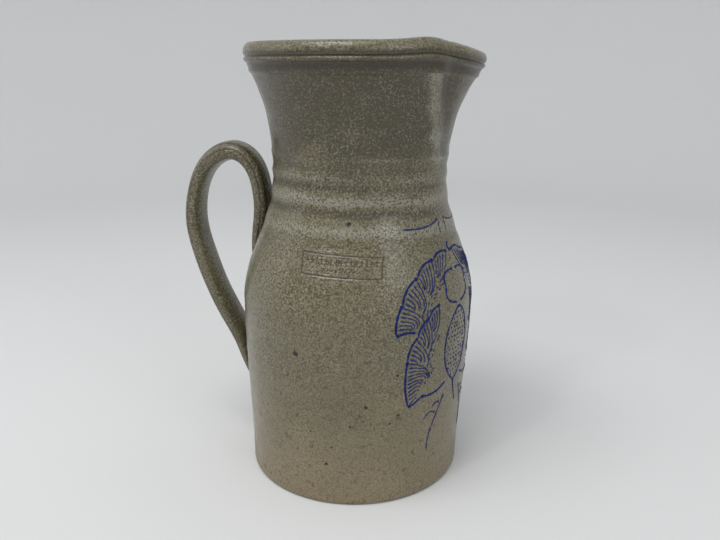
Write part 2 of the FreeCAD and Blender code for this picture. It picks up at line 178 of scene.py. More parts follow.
# ---- Pulled handle --------------------------------------------------------------------------
# Centre line from the upper end, over the arch, to the lower end, in millimetres: height,
# distance out from the wall; then the shares of the strap's width and thickness.
STRAP_LINE = [
    (121.0, -2.2, 0.50, 0.26), (131.0, -1.0, 0.80, 0.56), (144.0, 1.8, 0.96, 0.86),
    (157.0, 4.6, 1.00, 1.00), (169.0, 8.6, 0.98, 1.00), (180.0, 12.4, 0.97, 1.02),
    (189.0, 18.6, 0.98, 1.07), (192.4, 26.5, 0.98, 1.12), (190.4, 35.6, 0.98, 1.12),
    (181.5, 46.0, 0.98, 1.05), (165.5, 51.0, 1.00, 1.00), (147.0, 46.4, 1.02, 1.02),
    (127.0, 34.6, 1.04, 1.04), (106.0, 24.0, 1.06, 1.04), (88.0, 15.4, 1.08, 1.00),
    (72.0, 7.6, 1.08, 0.86), (56.0, 3.0, 1.00, 0.66), (44.0, -0.6, 0.74, 0.44),
    (37.0, -3.0, 0.50, 0.30),
]
HANDLE_AZIMUTH = 180.0
STRAP_SIDES = 72             # points round each row of the strap
STRAP_ROWS = 210
STRAP_PROBE = 1e-4           # step along the strap for measuring its direction
FLAT_POWER = 0.62            # how flat the finger side is: 1 is round
CROWN_POWER = 0.95
EDGE_POWER = 0.94
PULL_DEPTH = 0.42            # millimetres, of the deepest line
# Lines drawn along the strap by the wet hand: (degrees round the section, depth, width in degrees).
PULL_LINES = [
    (142.0, PULL_DEPTH, 9.0), (218.0, PULL_DEPTH, 9.0), (104.0, 0.34, 7.0), (256.0, 0.34, 7.0),
    (180.0, 0.18, 12.0),
]
PULL_FADE = 0.12             # share of the strap over which they fade out at each end
PULL_SIDE = 0.6              # how far they narrow the strap, as a share of their depth
HAND_SWAY = 0.16 * MM        # how far the hand makes the strap's width wander
# How it wanders: (radians along the whole strap, where they start, share).
HAND_WAVES = [(23.0, 0.4, 1.0), (51.0, 0.0, 0.6)]

# ---- Joint slips -----------------------------------------------------------------------------
# Each slip and the layer it shows: (name, node, half its turn in degrees, height of its fillet).
JOINT_SLIPS = [
    ("upper_joint_slip", "upper_luting_slip", 24.0, 0.8 * MM),
    ("lower_joint_slip", "lower_luting_slip", 17.0, 1.1 * MM),
]
SLIP_BELOW = 3.0 * MM        # how far a slip may spread below its layer
SLIP_ABOVE = 2.0 * MM
SLIP_REACH = 3.0 * MM        # how far from the strap its fillet starts to rise
SLIP_DIP = 0.05 * MM         # how far its edge lies under the wall's face
SLIP_CELL = 0.6 * MM
SLIP_EDGE = 0.004            # share of the fillet's height where it is cut off
SLIP_DEPTH = 0.5 * MM        # how deep it goes into the wall
SLIP_EVEN = 0.85             # how full the fillet is everywhere
SLIP_UNEVEN = 0.3            # and how much that changes from place to place
# Its waves: radians for each degree round the pot and each metre up, then for each metre up.
SLIP_WAVES = (0.9, 700.0, 410.0)

# ---- Cobalt blossom --------------------------------------------------------------------------
BLOSSOM_AZIMUTH = -21.0
# Knots of the petals' edges on one side: (across, up) in millimetres.
UPPER_PETAL = [(2.0, 143.0), (15.5, 141.0), (29.5, 133.5), (41.5, 121.0), (46.0, 104.0)]
UPPER_ROOT = (20.0, 110.0)
UPPER_BULGE = 4.4            # how far its scallops are bent outwards
LOWER_PETAL = [(17.5, 117.0), (25.5, 112.0), (33.0, 101.5), (38.5, 88.5), (36.0, 60.5)]
LOWER_ROOT = (16.0, 82.0)
LOWER_BULGE = 3.4
POD_MIDDLE = 90.0
POD_HALF_WIDTH = 12.0
POD_HALF_HEIGHT = 22.5
POD_POINT = 1.4              # how pointed the pod's ends are: 1 is round
POD_GAP = 3.0                # degrees left open at each end of its outline
POD_PLACES = 64
SEED_ROWS = 15
SEED_RISE = 2.7              # millimetres from one row of seeds to the next
SEED_GAP = 3.1
SEED_STAGGER = 0.9           # how far every other row is moved across
SEED_MARGIN = 1.9
SEED_JITTER = 0.5
SEED_LIFT = (0.1, 0.9)
SEED_TILT = 0.6
SEED_LENGTH = (1.0, 1.9)
# Hooks combed inside each scallop, in millimetres.
HOOK_GAP = 2.5
HOOK_FIRST = 0.7             # gaps before the first hook
HOOK_ROOM = 0.2              # gaps added to the scallop's length, for room at its end
HOOK_INSET = 1.4             # how far inside the edge a hook starts
HOOK_REACH = 16.5            # length of the first hook of a scallop
HOOK_SHRINK = 10.5           # how much shorter the last one is
HOOK_UNEVEN = (0.88, 1.08)
DROP_LEAST = 1.4             # how far a hook turns down towards the petal's tip
DROP_MOST = 6.5
DROP_UNEVEN = (0.85, 1.1)
HOOK_CURL = 0.8
TICKS = 4                    # short marks inside each scallop's hooks
TICK_DEPTH = (12.5, 17.5)
# One trail: its dome, its bed, and how it changes along its length.
TRAIL_STEP = 0.7             # millimetres between its sections
TRAIL_SECTION = 6            # sides of the domed top of a trail
TRAIL_BED = 0.12 * MM        # how far a trail has sunk into the glaze
BED_WIDTH = 0.7              # width of the bed as a share of the dome's
# How its width wavers: (share of the width, radians for each millimetre, share of its phase).
TRAIL_WAVES = [(0.16, 1.1, 1.0), (0.1, 2.7, 2.0)]
BLOB_SHARE = 0.85            # the blob where the trailer first touches the pot
BLOB_PLACE = 0.7
BLOB_WIDTH = 1.0
BLOB_RISE = 1.3              # how much higher it may stand than the trail
TRAIL_TIP = 0.08             # how blunt the two ends are
TRAIL_NOSE = 1.5             # sections over which the trail fills out
TRAIL_TAIL = 3.0             # and over which it runs out
TRAIL_LEAST = 0.45           # height of the thinnest trail, as a share of a main line's
SEED = 41

# Iron specks that burned through the glaze: azimuth in degrees, then height and radius in
# millimetres.
IRON_SPECKS = [
    (-106.0, 92.2, 1.55), (-72.6, 63.4, 0.95), (-56.3, 56.4, 0.7), (-91.2, 26.3, 0.75),
    (-88.5, 37.8, 0.6), (-134.5, 43.4, 0.6), (-98.7, 46.3, 0.55), (-79.6, 51.2, 0.5),
    (-57.7, 81.1, 0.8), (-110.7, 77.9, 0.7), (-60.4, 51.8, 0.5), (-82.9, 162.3, 1.1),
    (35.0, 70.0, 1.2), (88.0, 118.0, 0.9), (132.0, 52.0, 1.0), (155.0, 150.0, 0.7),
]

# ---- Finishes -------------------------------------------------------------------------------
# Heights in metres between which one colour of the glaze gives way to the next.
FOOT_BAND = (0.004, 0.085)
# The neck band darkens the glaze: partly olive glaze, partly painted shade under the flare.
NECK_SHADE_BAND = (0.172, 0.212)
RIM_BAND = (0.2435, 0.2465)
GRAIN_BAND = (0.03, 0.14)
DRY_BAND = (0.002, 0.03)
BAND_WANDER = 0.018          # how far clouds in the glaze move the foot's and the neck's bands
# How many features of each kind there are in a metre.
PAPER_CLOUDS = 3.0
CLOUDS = 26.0
PATCHES = 48.0
GLOSS_PATCHES = 75.0
SLIP_CLOUDS = 140.0
SPECK_CELLS = 250.0
BROWN_SPOTS = 300.0
COBALT_CLOUDS = 420.0
SLIP_PEEL = 520.0
PEEL = 620.0
COBALT_PEEL = 700.0
SPECK_RAGS = 900.0
DEEP_SPOTS = 900.0
PAPER_TOOTH = 900.0
PITS = 900.0
GRAIN = 960.0
RING_STREAKS = (22.0, 22.0, 90.0)
SOFT = (0.3, 0.7)            # the part of a noise's range that most of it fills
# Roughness where each finish is glossiest and dullest.
GLAZE_GLOSS = (0.22, 0.38)
SLIP_GLOSS = (0.42, 0.56)
COBALT_GLOSS = (0.34, 0.5)
DRY_FOOT = 0.22              # how much duller the glaze is at the foot
# Depths of what can be felt in each finish.
PEEL_DEPTH = 0.35 * MM
PIT_DEPTH = 0.12 * MM
SPECK_DEPTH = 0.15 * MM
SLIP_PEEL_DEPTH = 0.4 * MM
COBALT_PEEL_DEPTH = 0.22 * MM
PAPER_DEPTH = 0.05 * MM
SPECK_CHOICE = 0.80          # how rare small iron specks are: a cell's random grey has to pass it
SPECK_STRENGTH = 0.75
SPECK_JITTER = 0.4 * MM      # how ragged the larger iron specks are
SPECK_EDGE = (1.35, 0.85)    # where a speck's edge starts and ends, in its radii
SPOT_BROWN = (0.070, 0.044, 0.020)
# Brown of glaze in creases, also used for painted shade in the panel's lines, the flutes, the collar's
# bands and the handle's grooves.
CREASE_BROWN_AND_SHADE = (0.028, 0.020, 0.010)
SLIP_BROWN = (0.105, 0.086, 0.055)
WATERY_BLUE = (0.014, 0.036, 0.150)
DEEP_BLUE = (0.002, 0.008, 0.070)
PAPER_SHADE = (0.60, 0.605, 0.615)

# ---- Stage ----------------------------------------------------------------------------------
STAGE_FLAT = 0.95            # radius of the flat floor
STAGE_SWEEP = 0.45           # radius of the sweep from floor to backdrop
STAGE_WALL = 1.1             # height of the backdrop
STAGE_RINGS = (0.05, 0.3, 0.6, 0.85, 1.0)            # as shares of the flat floor's radius
STAGE_TURN = -80.0           # degrees from level where the sweep's first ring lies
SWEEP_RINGS = 10
STAGE_COLUMNS = 96
SENSOR_WIDTH = 36.0          # millimetres
NEAREST = 0.01               # metres from the lens to the nearest thing it shows
# The lights: where each one stands, its size, and its colour.
LIGHTS = {
    "overhead": ((-0.22, -0.42, 1.28), (0.65, 0.42), (1.0, 0.99, 0.965)),
    "sparkle": ((-0.42, -0.84, 1.04), (0.12, 0.12), (1.0, 0.99, 0.97)),
    "side": ((-1.05, -0.25, 0.6), (0.6, 0.8), (1.0, 0.995, 0.985)),
    "front": ((0.85, -0.72, 0.58), (0.34, 0.34), (0.98, 0.99, 1.0)),
}
SKY_COLOUR = (0.97, 0.985, 1.0)


class PitcherSizes(bpy.types.PropertyGroup):
    """Sizes of the thrown pot and its handle."""

    height: FloatProperty(
        name="Height", description="From the foot to the top of the rim",
        default=BODY_HIGH.z - LIP_SHOULDER, unit="LENGTH",
    )
    foot_radius: FloatProperty(
        name="Foot radius", description="Wall just above the rounded foot",
        default=65.2 * MM, unit="LENGTH",
    )
    belly_radius: FloatProperty(
        name="Belly radius", description="Outside of the belly at its widest",
        default=(BODY_HIGH.y - BODY_LOW.y) / 2.0, unit="LENGTH",
    )
    belly_height: FloatProperty(
        name="Belly height", description="Height of the widest line of the belly",
        default=108.0 * MM, unit="LENGTH",
    )
    neck_radius: FloatProperty(
        name="Neck radius", description="Outside of the neck at its narrowest",
        default=50.8 * MM, unit="LENGTH",
    )
    neck_height: FloatProperty(
        name="Neck height", description="Height of the narrowest line of the neck",
        default=180.0 * MM, unit="LENGTH",
    )
    flare_radius: FloatProperty(
        name="Flare radius", description="Wall where it meets the collar",
        default=62.4 * MM, unit="LENGTH",
    )
    rim_radius: FloatProperty(
        name="Rim radius", description="Widest line of the collar",
        default=66.0 * MM, unit="LENGTH",
    )
    rim_thickness: FloatProperty(
        name="Rim thickness", description="Thickness of the rounded rim",
        default=6.8 * MM, unit="LENGTH",
    )
    wall_thickness: FloatProperty(
        name="Wall thickness", description="Thickness of the thrown wall",
        default=5.4 * MM, unit="LENGTH",
    )
    lean: FloatProperty(
        name="Lean", description="How far the rim's centre stands towards the lip",
        default=4.55 * MM, unit="LENGTH",
    )
    lip_reach: FloatProperty(
        name="Lip reach", description="How far the tip stands out past the collar",
        default=3.6 * MM, unit="LENGTH",
    )
    lip_dip: FloatProperty(
        name="Lip dip", description="How far the tip drops below the rim",
        default=5.2 * MM, unit="LENGTH",
    )
    flute_depth: FloatProperty(
        name="Flute depth", description="Depth of the finger flutes beside the throat",
        default=2.9 * MM, unit="LENGTH",
    )
    ring_depth: FloatProperty(
        name="Throwing ring depth", description="How far the throwing rings stand out",
        default=0.5 * MM, unit="LENGTH",
    )
    strap_width: FloatProperty(
        name="Strap width", description="Width of the handle's strap",
        default=20.0 * MM, unit="LENGTH",
    )
    strap_thickness: FloatProperty(
        name="Strap thickness", description="Thickness of the handle's strap",
        default=10.4 * MM, unit="LENGTH",
    )
    panel_depth: FloatProperty(
        name="Panel depth", description="How deep the panel's lines are pressed",
        default=0.34 * MM, unit="LENGTH",
    )
    trail_width: FloatProperty(
        name="Trail width", description="Width of a main line of cobalt slip",
        default=1.4 * MM, unit="LENGTH",
    )
    trail_height: FloatProperty(
        name="Trail height", description="How far a main line of cobalt slip stands up",
        default=0.3 * MM, unit="LENGTH",
    )


class PitcherColours(bpy.types.PropertyGroup):
    """Colours of the glaze, the bare clay and the cobalt."""

    body: FloatVectorProperty(
        name="Glaze", description="Grey-green salt glaze on the belly",
        default=(0.150, 0.132, 0.076), subtype="COLOR", min=0.0, max=1.0,
    )
    toasted: FloatVectorProperty(
        name="Toasted clay", description="Warm tan where the glaze is thin, near the foot",
        default=(0.238, 0.188, 0.108), subtype="COLOR", min=0.0, max=1.0,
    )
    # Also gives the painted shade under the flare of the neck.
    shade: FloatVectorProperty(
        name="Shaded glaze", description="Darker olive glaze round the neck",
        default=(0.050, 0.042, 0.020), subtype="COLOR", min=0.0, max=1.0,
    )
    ash: FloatVectorProperty(
        name="Ash glaze", description="Pale grey glaze on ridges and the rim",
        default=(0.270, 0.262, 0.205), subtype="COLOR", min=0.0, max=1.0,
    )
    iron: FloatVectorProperty(
        name="Iron", description="Iron specks burned through the glaze",
        default=(0.010, 0.006, 0.004), subtype="COLOR", min=0.0, max=1.0,
    )
    cobalt: FloatVectorProperty(
        name="Cobalt", description="Deep blue slip",
        default=(0.002, 0.013, 0.120), subtype="COLOR", min=0.0, max=1.0,
    )
    floor: FloatVectorProperty(
        name="Floor", description="Pale floor and backdrop",
        default=(0.685, 0.69, 0.695), subtype="COLOR", min=0.0, max=1.0,
    )


class PitcherStage(bpy.types.PropertyGroup):
    """Camera and lights."""

    camera_place: FloatVectorProperty(
        name="Camera place", description="Where the camera stands",
        default=(0.0957, -0.3994, 0.2440), subtype="TRANSLATION",
    )
    camera_pitch: FloatProperty(
        name="Camera pitch", description="How far the camera looks down",
        default=math.radians(16.62), unit="ROTATION",
    )
    camera_turn: FloatProperty(
        name="Camera turn", description="How far the camera is turned about the upright",
        default=math.radians(13.0), unit="ROTATION",
    )
    lens: FloatProperty(
        name="Lens", description="Focal length in millimetres", default=35.0, unit="CAMERA",
    )
    sky: FloatProperty(name="Sky", description="Strength of the light from all round", default=0.70)
    overhead: FloatProperty(
        name="Overhead light", description="Power of the large light above",
        default=6.7, unit="POWER",
    )
    sparkle: FloatProperty(
        name="Sparkle light", description="Power of the small light that glints on the rim",
        default=1.5, unit="POWER",
    )
    front: FloatProperty(
        name="Front light", description="Power of the light to the right of the camera",
        default=1.5, unit="POWER",
    )
    side: FloatProperty(
        name="Side light", description="Power of the tall light on the left",
        default=0.9, unit="POWER",
    )


def settings(kind):
    """The scene's own values of one kind: sizes, colours or stage."""
    return getattr(bpy.context.scene, "pitcher_" + kind)


def smooth(value):
    """Ease from 0 to 1 with level ends."""
    held = np.clip(value, 0.0, 1.0)
    return (1.0 - np.cos(np.pi * held)) / 2.0


def bell(value, centre, width):
    """A bell-shaped share: 1 at the centre."""
    return np.exp(-(((value - centre) / width) ** 2))


class Wall:
    """Where the faces of the thrown pot lie, at any azimuth and height."""

    def __init__(self, sizes):
        self.sizes = sizes
        self.top = sizes.height
        self.collar = sizes.height - COLLAR_HEIGHT

    def radius(self, height):
        """Outer radius of the wall between the foot and the collar."""
        sizes = self.sizes
        low = smooth(height / sizes.belly_height)
        middle = smooth((height - sizes.belly_height) / (sizes.neck_height - sizes.belly_height))
        high = np.maximum((height - sizes.neck_height) / (self.collar - sizes.neck_height), 0.0)
        belly = sizes.foot_radius + (sizes.belly_radius - sizes.foot_radius) * low
        shoulder = sizes.belly_radius + (sizes.neck_radius - sizes.belly_radius) * middle
        neck = sizes.neck_radius + (sizes.flare_radius - sizes.neck_radius) * high ** FLARE_POWER
        lower = np.where(height <= sizes.belly_height, belly, shoulder)
        return np.where(height <= sizes.neck_height, lower, neck)

    def throwing(self, azimuth, height):
        """Throwing rings: below 0 in a groove and above 0 on a ridge."""
        turn = np.radians(azimuth)
        level = height + RING_SPIRAL * (np.sin(turn + 0.6) / 2.0 + 0.2 * np.sin(2.0 * turn + 2.0))
        rings = sum(share * bell(level, ring * MM, width * MM) for ring, width, share in RINGS)
        patch = RING_EVEN + RING_PATCH * np.sin(PATCH_TURNS * turn + height / PATCH_HEIGHT)
        return rings * patch + FINE_SHARE * np.sin(2.0 * np.pi * level / FINE_PITCH)

    def ripple(self, azimuth, height):
        """How far the throwing rings move the wall."""
        ends = smooth(height / RING_START) * smooth((self.collar - height) / RING_END)
        return self.sizes.ring_depth * ends * self.throwing(azimuth, height)

    def throat(self, azimuth, height):
        """Drag marks beside the throat: above 0 on the raised ridge, below 0 in the flute."""
        turn = np.abs((azimuth + 180.0) % 360.0 - 180.0)
        drawn = np.clip((height - THROAT_START) / (self.top - THROAT_START), 0.0, 1.0)
        turn = turn - THROAT_SWAY * (drawn - THROAT_LEVEL)
        firm = 1.0 - THROAT_FADE * smooth((height - self.collar + FADE_START) / FADE_RISE)
        ridge = bell(turn, RIDGE_ANGLE, RIDGE_SPREAD) * smooth(RIDGE_SPEED * drawn)
        flute = bell(turn, FLUTE_ANGLE, FLUTE_SPREAD) * smooth(FLUTE_SPEED * (drawn - FLUTE_START))
        return firm * (ridge - flute)

    def place(self, azimuth, radius, height):
        """Points of the pot after the lip is pulled and the pot has leaned."""
        sizes = self.sizes
        turn = np.abs((azimuth + 180.0) % 360.0 - 180.0)
        angle = np.radians(azimuth)
        throat = np.cos(np.pi / 2.0 * np.minimum(turn / THROAT_HALF_ANGLE, 1.0)) ** 2
        mouth = np.cos(np.pi / 2.0 * np.minimum(turn / LIP_HALF_ANGLE, 1.0)) ** 2
        drawn = np.clip((height - THROAT_START) / (self.top - THROAT_START), 0.0, 1.0)
        tipped = np.clip((height - self.top + TIP_DEPTH) / TIP_DEPTH, 0.0, 1.0)
        pinch = self.throat(azimuth, height)
        flute = sizes.flute_depth * np.where(pinch > 0.0, -RIDGE_SHARE * pinch, -pinch)
        drop = sizes.lip_dip * mouth - LIP_SHOULDER * bell(turn, LIP_HALF_ANGLE, SHOULDER_SPREAD)
        wobble = np.sin(2.0 * angle + WOBBLE_TWIST * height) + 0.5 * np.sin(3.0 * angle + 1.3)
        wobble = WOBBLE * wobble * smooth(height / WOBBLE_START)
        reach = radius + sizes.lip_reach * throat * drawn ** THROAT_POWER - flute + wobble
        lean = sizes.lean * height / sizes.height
        x = reach * np.cos(angle) + lean
        y = reach * np.sin(angle)
        z = height - drop * tipped ** THROAT_POWER
        return np.stack(np.broadcast_arrays(x, y, z), axis=-1)

    def face(self, azimuth, height, lift=0.0):
        """Points of the outer face, lifted square to it."""
        slope = (self.radius(height + PROBE) - self.radius(height - PROBE)) / (2.0 * PROBE)
        length = np.hypot(1.0, slope)
        radius = self.radius(height) + self.ripple(azimuth, height) + lift / length
        return self.place(azimuth, radius, height - lift * slope / length)


def spline(knots, values, places):
    """Natural cubic spline through the values at the knots, read at the places."""
    gaps = np.diff(knots)
    count = len(knots)
    matrix = np.eye(count)
    right = np.zeros(count)
    for row in range(1, count - 1):
        matrix[row, row - 1:row + 2] = gaps[row - 1], 2.0 * (gaps[row - 1] + gaps[row]), gaps[row]
        steps = np.diff(values[row - 1:row + 2]) / gaps[row - 1:row + 1]
        right[row] = 6.0 * (steps[1] - steps[0])
    bends = np.linalg.solve(matrix, right)
    span = np.clip(np.searchsorted(knots, places, side="right") - 1, 0, count - 2)
    first, second = knots[span], knots[span + 1]
    gap = gaps[span]
    low, high = (second - places) / gap, (places - first) / gap
    curve = (low ** 3 - low) * bends[span] + (high ** 3 - high) * bends[span + 1]
    return low * values[span] + high * values[span + 1] + curve * gap ** 2 / 6.0


def resampled(line, count):
    """Evenly spaced points along a line of points."""
    points = np.array(line, float)
    along = np.concatenate([[0.0], np.cumsum(np.hypot(*np.diff(points, axis=0).T))])
    places = np.linspace(0.0, along[-1], count)
    return np.stack([np.interp(places, along, points[:, axis]) for axis in (0, 1)], axis=1)


def new_piece(name, vertices, faces, material):
    """A smooth mesh object that rides on the pot."""
    if not faces:
        raise RuntimeError(name + " has no faces: one of its sizes is out of reach")
    mesh = bpy.data.meshes.new(name)
    mesh.from_pydata([tuple(vertex) for vertex in vertices], [], faces)
    mesh.validate()
    mesh.shade_smooth()
    mesh.materials.append(material)
    piece = bpy.data.objects.new(name, mesh)
    bpy.context.scene.collection.objects.link(piece)
    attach(piece, "root")
    return piece


def ring_faces(rows, columns, start=0):
    """Faces of a tube of rings, one ring of points after another."""
    faces = []
    for row in range(rows - 1):
        low = start + row * columns
        for column in range(columns):
            side = (column + 1) % columns
            faces.append((low + column, low + side, low + columns + side, low + columns + column))
    return faces


# ---- Thrown body ----------------------------------------------------------------------------

def body_rows(wall):
    """Rows of the body, from the middle of the foot to the middle of the floor.

    Each row is (radius, height, share of the throwing rings).
    """
    sizes = wall.sizes
    rows = [(radius * MM, height * MM, 0.0) for radius, height in FOOT_LINE]
    edge = float(wall.radius(FOOT_ROUND))
    for turn in np.radians(np.linspace(FOOT_TURN, 0.0, FOOT_ROWS)):
        across, up = FOOT_ROUND * np.cos(turn), FOOT_ROUND * np.sin(turn)
        rows.append((edge - FOOT_ROUND + across, FOOT_ROUND + up, 0.0))
    first = len(rows)
    for height in np.linspace(WALL_START * FOOT_ROUND, wall.collar - WALL_EASE, WALL_ROWS):
        rows.append((float(wall.radius(height)), height, 1.0))
    for inset, depth in resampled(COLLAR_LINE, COLLAR_ROWS):
        rows.append((sizes.rim_radius - inset * MM, wall.top - depth * MM, 0.0))
    for turn in np.radians(np.linspace(RIM_TURN, 180.0, RIM_ROWS)):
        outer = turn < math.pi / 2.0
        wide = RIM_ROLL if outer else sizes.rim_thickness - RIM_ROLL
        tall = RIM_FALL if outer else sizes.rim_thickness / 2.0
        radius = sizes.rim_radius - RIM_ROLL + wide * np.cos(turn)
        rows.append((radius, wall.top - tall + tall * np.sin(turn), 0.0))
    corner = FLOOR_THICKNESS + FLOOR_CORNER
    for height in np.linspace(wall.collar, corner, INSIDE_ROWS):
        rows.append((float(wall.radius(height)) - sizes.wall_thickness, height, 1.0))
    edge = float(wall.radius(corner)) - sizes.wall_thickness - FLOOR_CORNER
    for turn in np.radians(np.linspace(0.0, -90.0, CORNER_ROWS + 1)[1:]):
        across, up = FLOOR_CORNER * np.cos(turn), FLOOR_CORNER * np.sin(turn)
        rows.append((edge + across, corner + up, 0.0))
    for radius in np.linspace(edge, FLOOR_MIDDLE, FLOOR_ROWS + 1)[1:]:
        place = radius % FLOOR_RING_GAP
        rise = FLOOR_RING * float(bell(place, FLOOR_RING_GAP / 2.0, FLOOR_RING_WIDTH))
        rows.append((radius, FLOOR_THICKNESS + rise, 0.0))
    return rows, first


def panel_marks():
    """Lines of the impressed panel: its frame and two rows of plain marks."""
    half, rise = PANEL_WIDTH / 2.0, PANEL_RISE / 2.0
    corners = [(-half, -rise), (half, -rise), (half, rise), (-half, rise)]
    marks = list(zip(corners, corners[1:] + corners[:1]))
    middle = TALLY_FOOT + TALLY_RISE / 2.0
    for step in range(TALLIES):
        across = (step - TALLIES // 2) * TALLY_GAP
        marks.append(((across, TALLY_FOOT), (across, TALLY_FOOT + TALLY_RISE)))
        if step % BAR_EVERY == 1:
            marks.append(((across - BAR_HALF, middle), (across + BAR_HALF, middle)))
    for step in range(DASHES):
        across = (step - DASHES // 2) * DASH_GAP
        marks.append(((across - DASH_HALF, DASH_LOW), (across + DASH_HALF, DASH_HIGH)))
    return marks


def panel_press(across, up):
    """How hard the panel presses the wall: 1 in the middle of a line, less than 0 beside it."""
    level = up + PANEL_FALL * across
    nearest = np.full(across.shape, 1.0)
    for (x1, y1), (x2, y2) in panel_marks():
        dx, dy = x2 - x1, y2 - y1
        share = np.clip(((across - x1) * dx + (level - y1) * dy) / (dx * dx + dy * dy), 0.0, 1.0)
        gap = np.hypot(across - x1 - share * dx, level - y1 - share * dy)
        nearest = np.minimum(nearest, gap)
    burr = PANEL_BURR * bell(nearest, BURR_PLACE * PANEL_LINE, PANEL_LINE)
    return bell(nearest, 0.0, PANEL_LINE) - burr


def panel_place(wall, azimuth, height):
    """Places across and up from the panel's centre."""
    across = np.radians(azimuth - PANEL_AZIMUTH) * wall.radius(height)
    slope = (wall.radius(PANEL_HEIGHT + PROBE) - wall.radius(PANEL_HEIGHT - PROBE)) / (2.0 * PROBE)
    return across, (height - PANEL_HEIGHT) * math.hypot(1.0, float(slope))


def body_points(wall, rows, first, row_at, column_at):
    """Points of the body at rows and columns that may lie between whole ones."""
    rows = np.array(rows)
    numbers = np.arange(len(rows))
    radius, height, rings = (np.interp(row_at, numbers, rows[:, item]) for item in range(3))
    azimuth = HANDLE_AZIMUTH + 360.0 * column_at / COLUMNS
    ripple = wall.ripple(azimuth, height) * rings
    across, up = panel_place(wall, (azimuth + 180.0) % 360.0 - 180.0, height)
    top = first + WALL_ROWS
    outside = row_at < top
    near = outside & (np.abs(across) < PANEL_WIDTH) & (np.abs(up) < PANEL_RISE)
    press = np.where(near, panel_press(across, up), 0.0)
    points = wall.place(azimuth, radius + ripple - wall.sizes.panel_depth * press, height)
    throwing = wall.throwing(azimuth, height) * rings
    pinch = wall.throat(azimuth, height) * rings
    # The ridges beside the flutes turn pale: pale glaze, partly a painted highlight.
    throwing = throwing + RIDGE_ASH_AND_HIGHLIGHT * np.maximum(pinch, 0.0)
    # Painted shade in the flutes; on the collar, brown glaze and painted shade take its place.
    shade_and_stain = FLUTE_SHADE * np.maximum(-pinch, 0.0) ** 2
    depth = (wall.top - height) / MM
    on_collar = (row_at >= top) & (row_at < top + COLLAR_ROWS)
    # Brown glaze, and painted shade in the collar's undercut and incised line.
    collar_stain_and_shade = sum(share * bell(depth, middle, width) for middle, width, share in COLLAR_STAINS_AND_SHADE)
    shade_and_stain = np.where(on_collar, collar_stain_and_shade, shade_and_stain)
    # The last value says where painted shade and brown glaze darken the glaze: the panel's lines, the
    # flutes and the collar's bands.
    return points, throwing, np.clip(press + shade_and_stain, 0.0, 1.0)


def body_grid(rows, window, parts):
    """Faces of the body's grid, with finer cells in a window, and where its points are.

    The window is its first and last row, then its first and last column.
    """
    low, high, left, right = window
    ids = np.arange(rows * COLUMNS).reshape(rows, COLUMNS)
    row_at, column_at = [axis.ravel().astype(float) for axis in np.mgrid[0:rows, 0:COLUMNS]]
    tall, wide = (high - low) * parts + 1, (right - left) * parts + 1
    fine = np.full((tall, wide), -1)
    fine[::parts, ::parts] = ids[low:high + 1, left:right + 1]
    added = fine < 0
    fine[added] = rows * COLUMNS + np.arange(added.sum())
    up, across = np.nonzero(added)
    row_at = np.concatenate([row_at, low + up / parts])
    column_at = np.concatenate([column_at, left + across / parts])
    # The cells round the window take its finer points into their own edge: where, and which.
    edges = {}
    for column in range(left, right):
        span = slice((column - left) * parts + 1, (column - left + 1) * parts)
        edges[high, column] = (1, fine[-1, span])
        edges[low - 1, column] = (3, fine[0, span][::-1])
    for row in range(low, high):
        span = slice((row - low) * parts + 1, (row - low + 1) * parts)
        edges[row, left - 1] = (2, fine[span, 0])
        edges[row, right] = (4, fine[span, -1][::-1])
    faces = []
    for row in range(rows - 1):
        for column in range(COLUMNS):
            if low <= row < high and left <= column < right:
                continue
            side = (column + 1) % COLUMNS
            face = [ids[row, column], ids[row, side], ids[row + 1, side], ids[row + 1, column]]
            spot, extra = edges.get((row, column), (4, ()))
            face[spot:spot] = extra
            faces.append(face)
    for row in range(tall - 1):
        for column in range(wide - 1):
            near, far = fine[row], fine[row + 1]
            faces.append((near[column], near[column + 1], far[column + 1], far[column]))
    return faces, row_at, column_at


def panel_window(rows, first, wall):
    """Rows and columns of the body's grid that hold the impressed panel."""
    heights = np.array([height for _, height, _ in rows[first:first + WALL_ROWS]])
    reach = PANEL_RISE / 2.0 + PANEL_FALL * PANEL_WIDTH / 2.0 + PANEL_MARGIN
    inside = np.nonzero(np.abs(heights - PANEL_HEIGHT) < reach)[0]
    half = math.degrees((PANEL_WIDTH / 2.0 + PANEL_MARGIN) / float(wall.radius(PANEL_HEIGHT)))
    middle = (PANEL_AZIMUTH - HANDLE_AZIMUTH) % 360.0
    left = int((middle - half) * COLUMNS / 360.0)
    right = int((middle + half) * COLUMNS / 360.0) + 1
    return first + inside[0] - 1, first + inside[-1] + 1, left, right


def make_body():
    """The thrown body: foot, wall, collar, rim, inside and impressed panel in one closed skin."""
    wall = Wall(settings("sizes"))
    rows, first = body_rows(wall)
    faces, row_at, column_at = body_grid(len(rows), panel_window(rows, first, wall), PANEL_PARTS)
    points, throwing, pressed = body_points(wall, rows, first, row_at, column_at)
    last = (len(rows) - 1) * COLUMNS
    foot, floor = len(points), len(points) + 1
    middles = [(0.0, 0.0, rows[0][1]), (0.0, 0.0, rows[-1][1])]
    for column in range(COLUMNS):
        side = (column + 1) % COLUMNS
        faces.append((foot, side, column))
        faces.append((last + column, last + side, floor))
    piece = new_piece(
        "salt_glazed_body", list(points) + middles, faces, salt_glaze(wall),
    )
    paint_values(piece, "throwing", throwing)
    # Where painted shade and brown glaze darken the glaze.
    paint_values(piece, "pressed", pressed)
    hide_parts("thrown_body")


def paint_values(piece, name, values):
    """Keep a number for each point of a mesh, for its glaze to read."""
    layer = piece.data.attributes.new(name, "FLOAT", "POINT")
    full = np.zeros(len(piece.data.vertices), np.float32)
    full[:len(values)] = values
    layer.data.foreach_set("value", full)


# ---- Pulled handle --------------------------------------------------------------------------

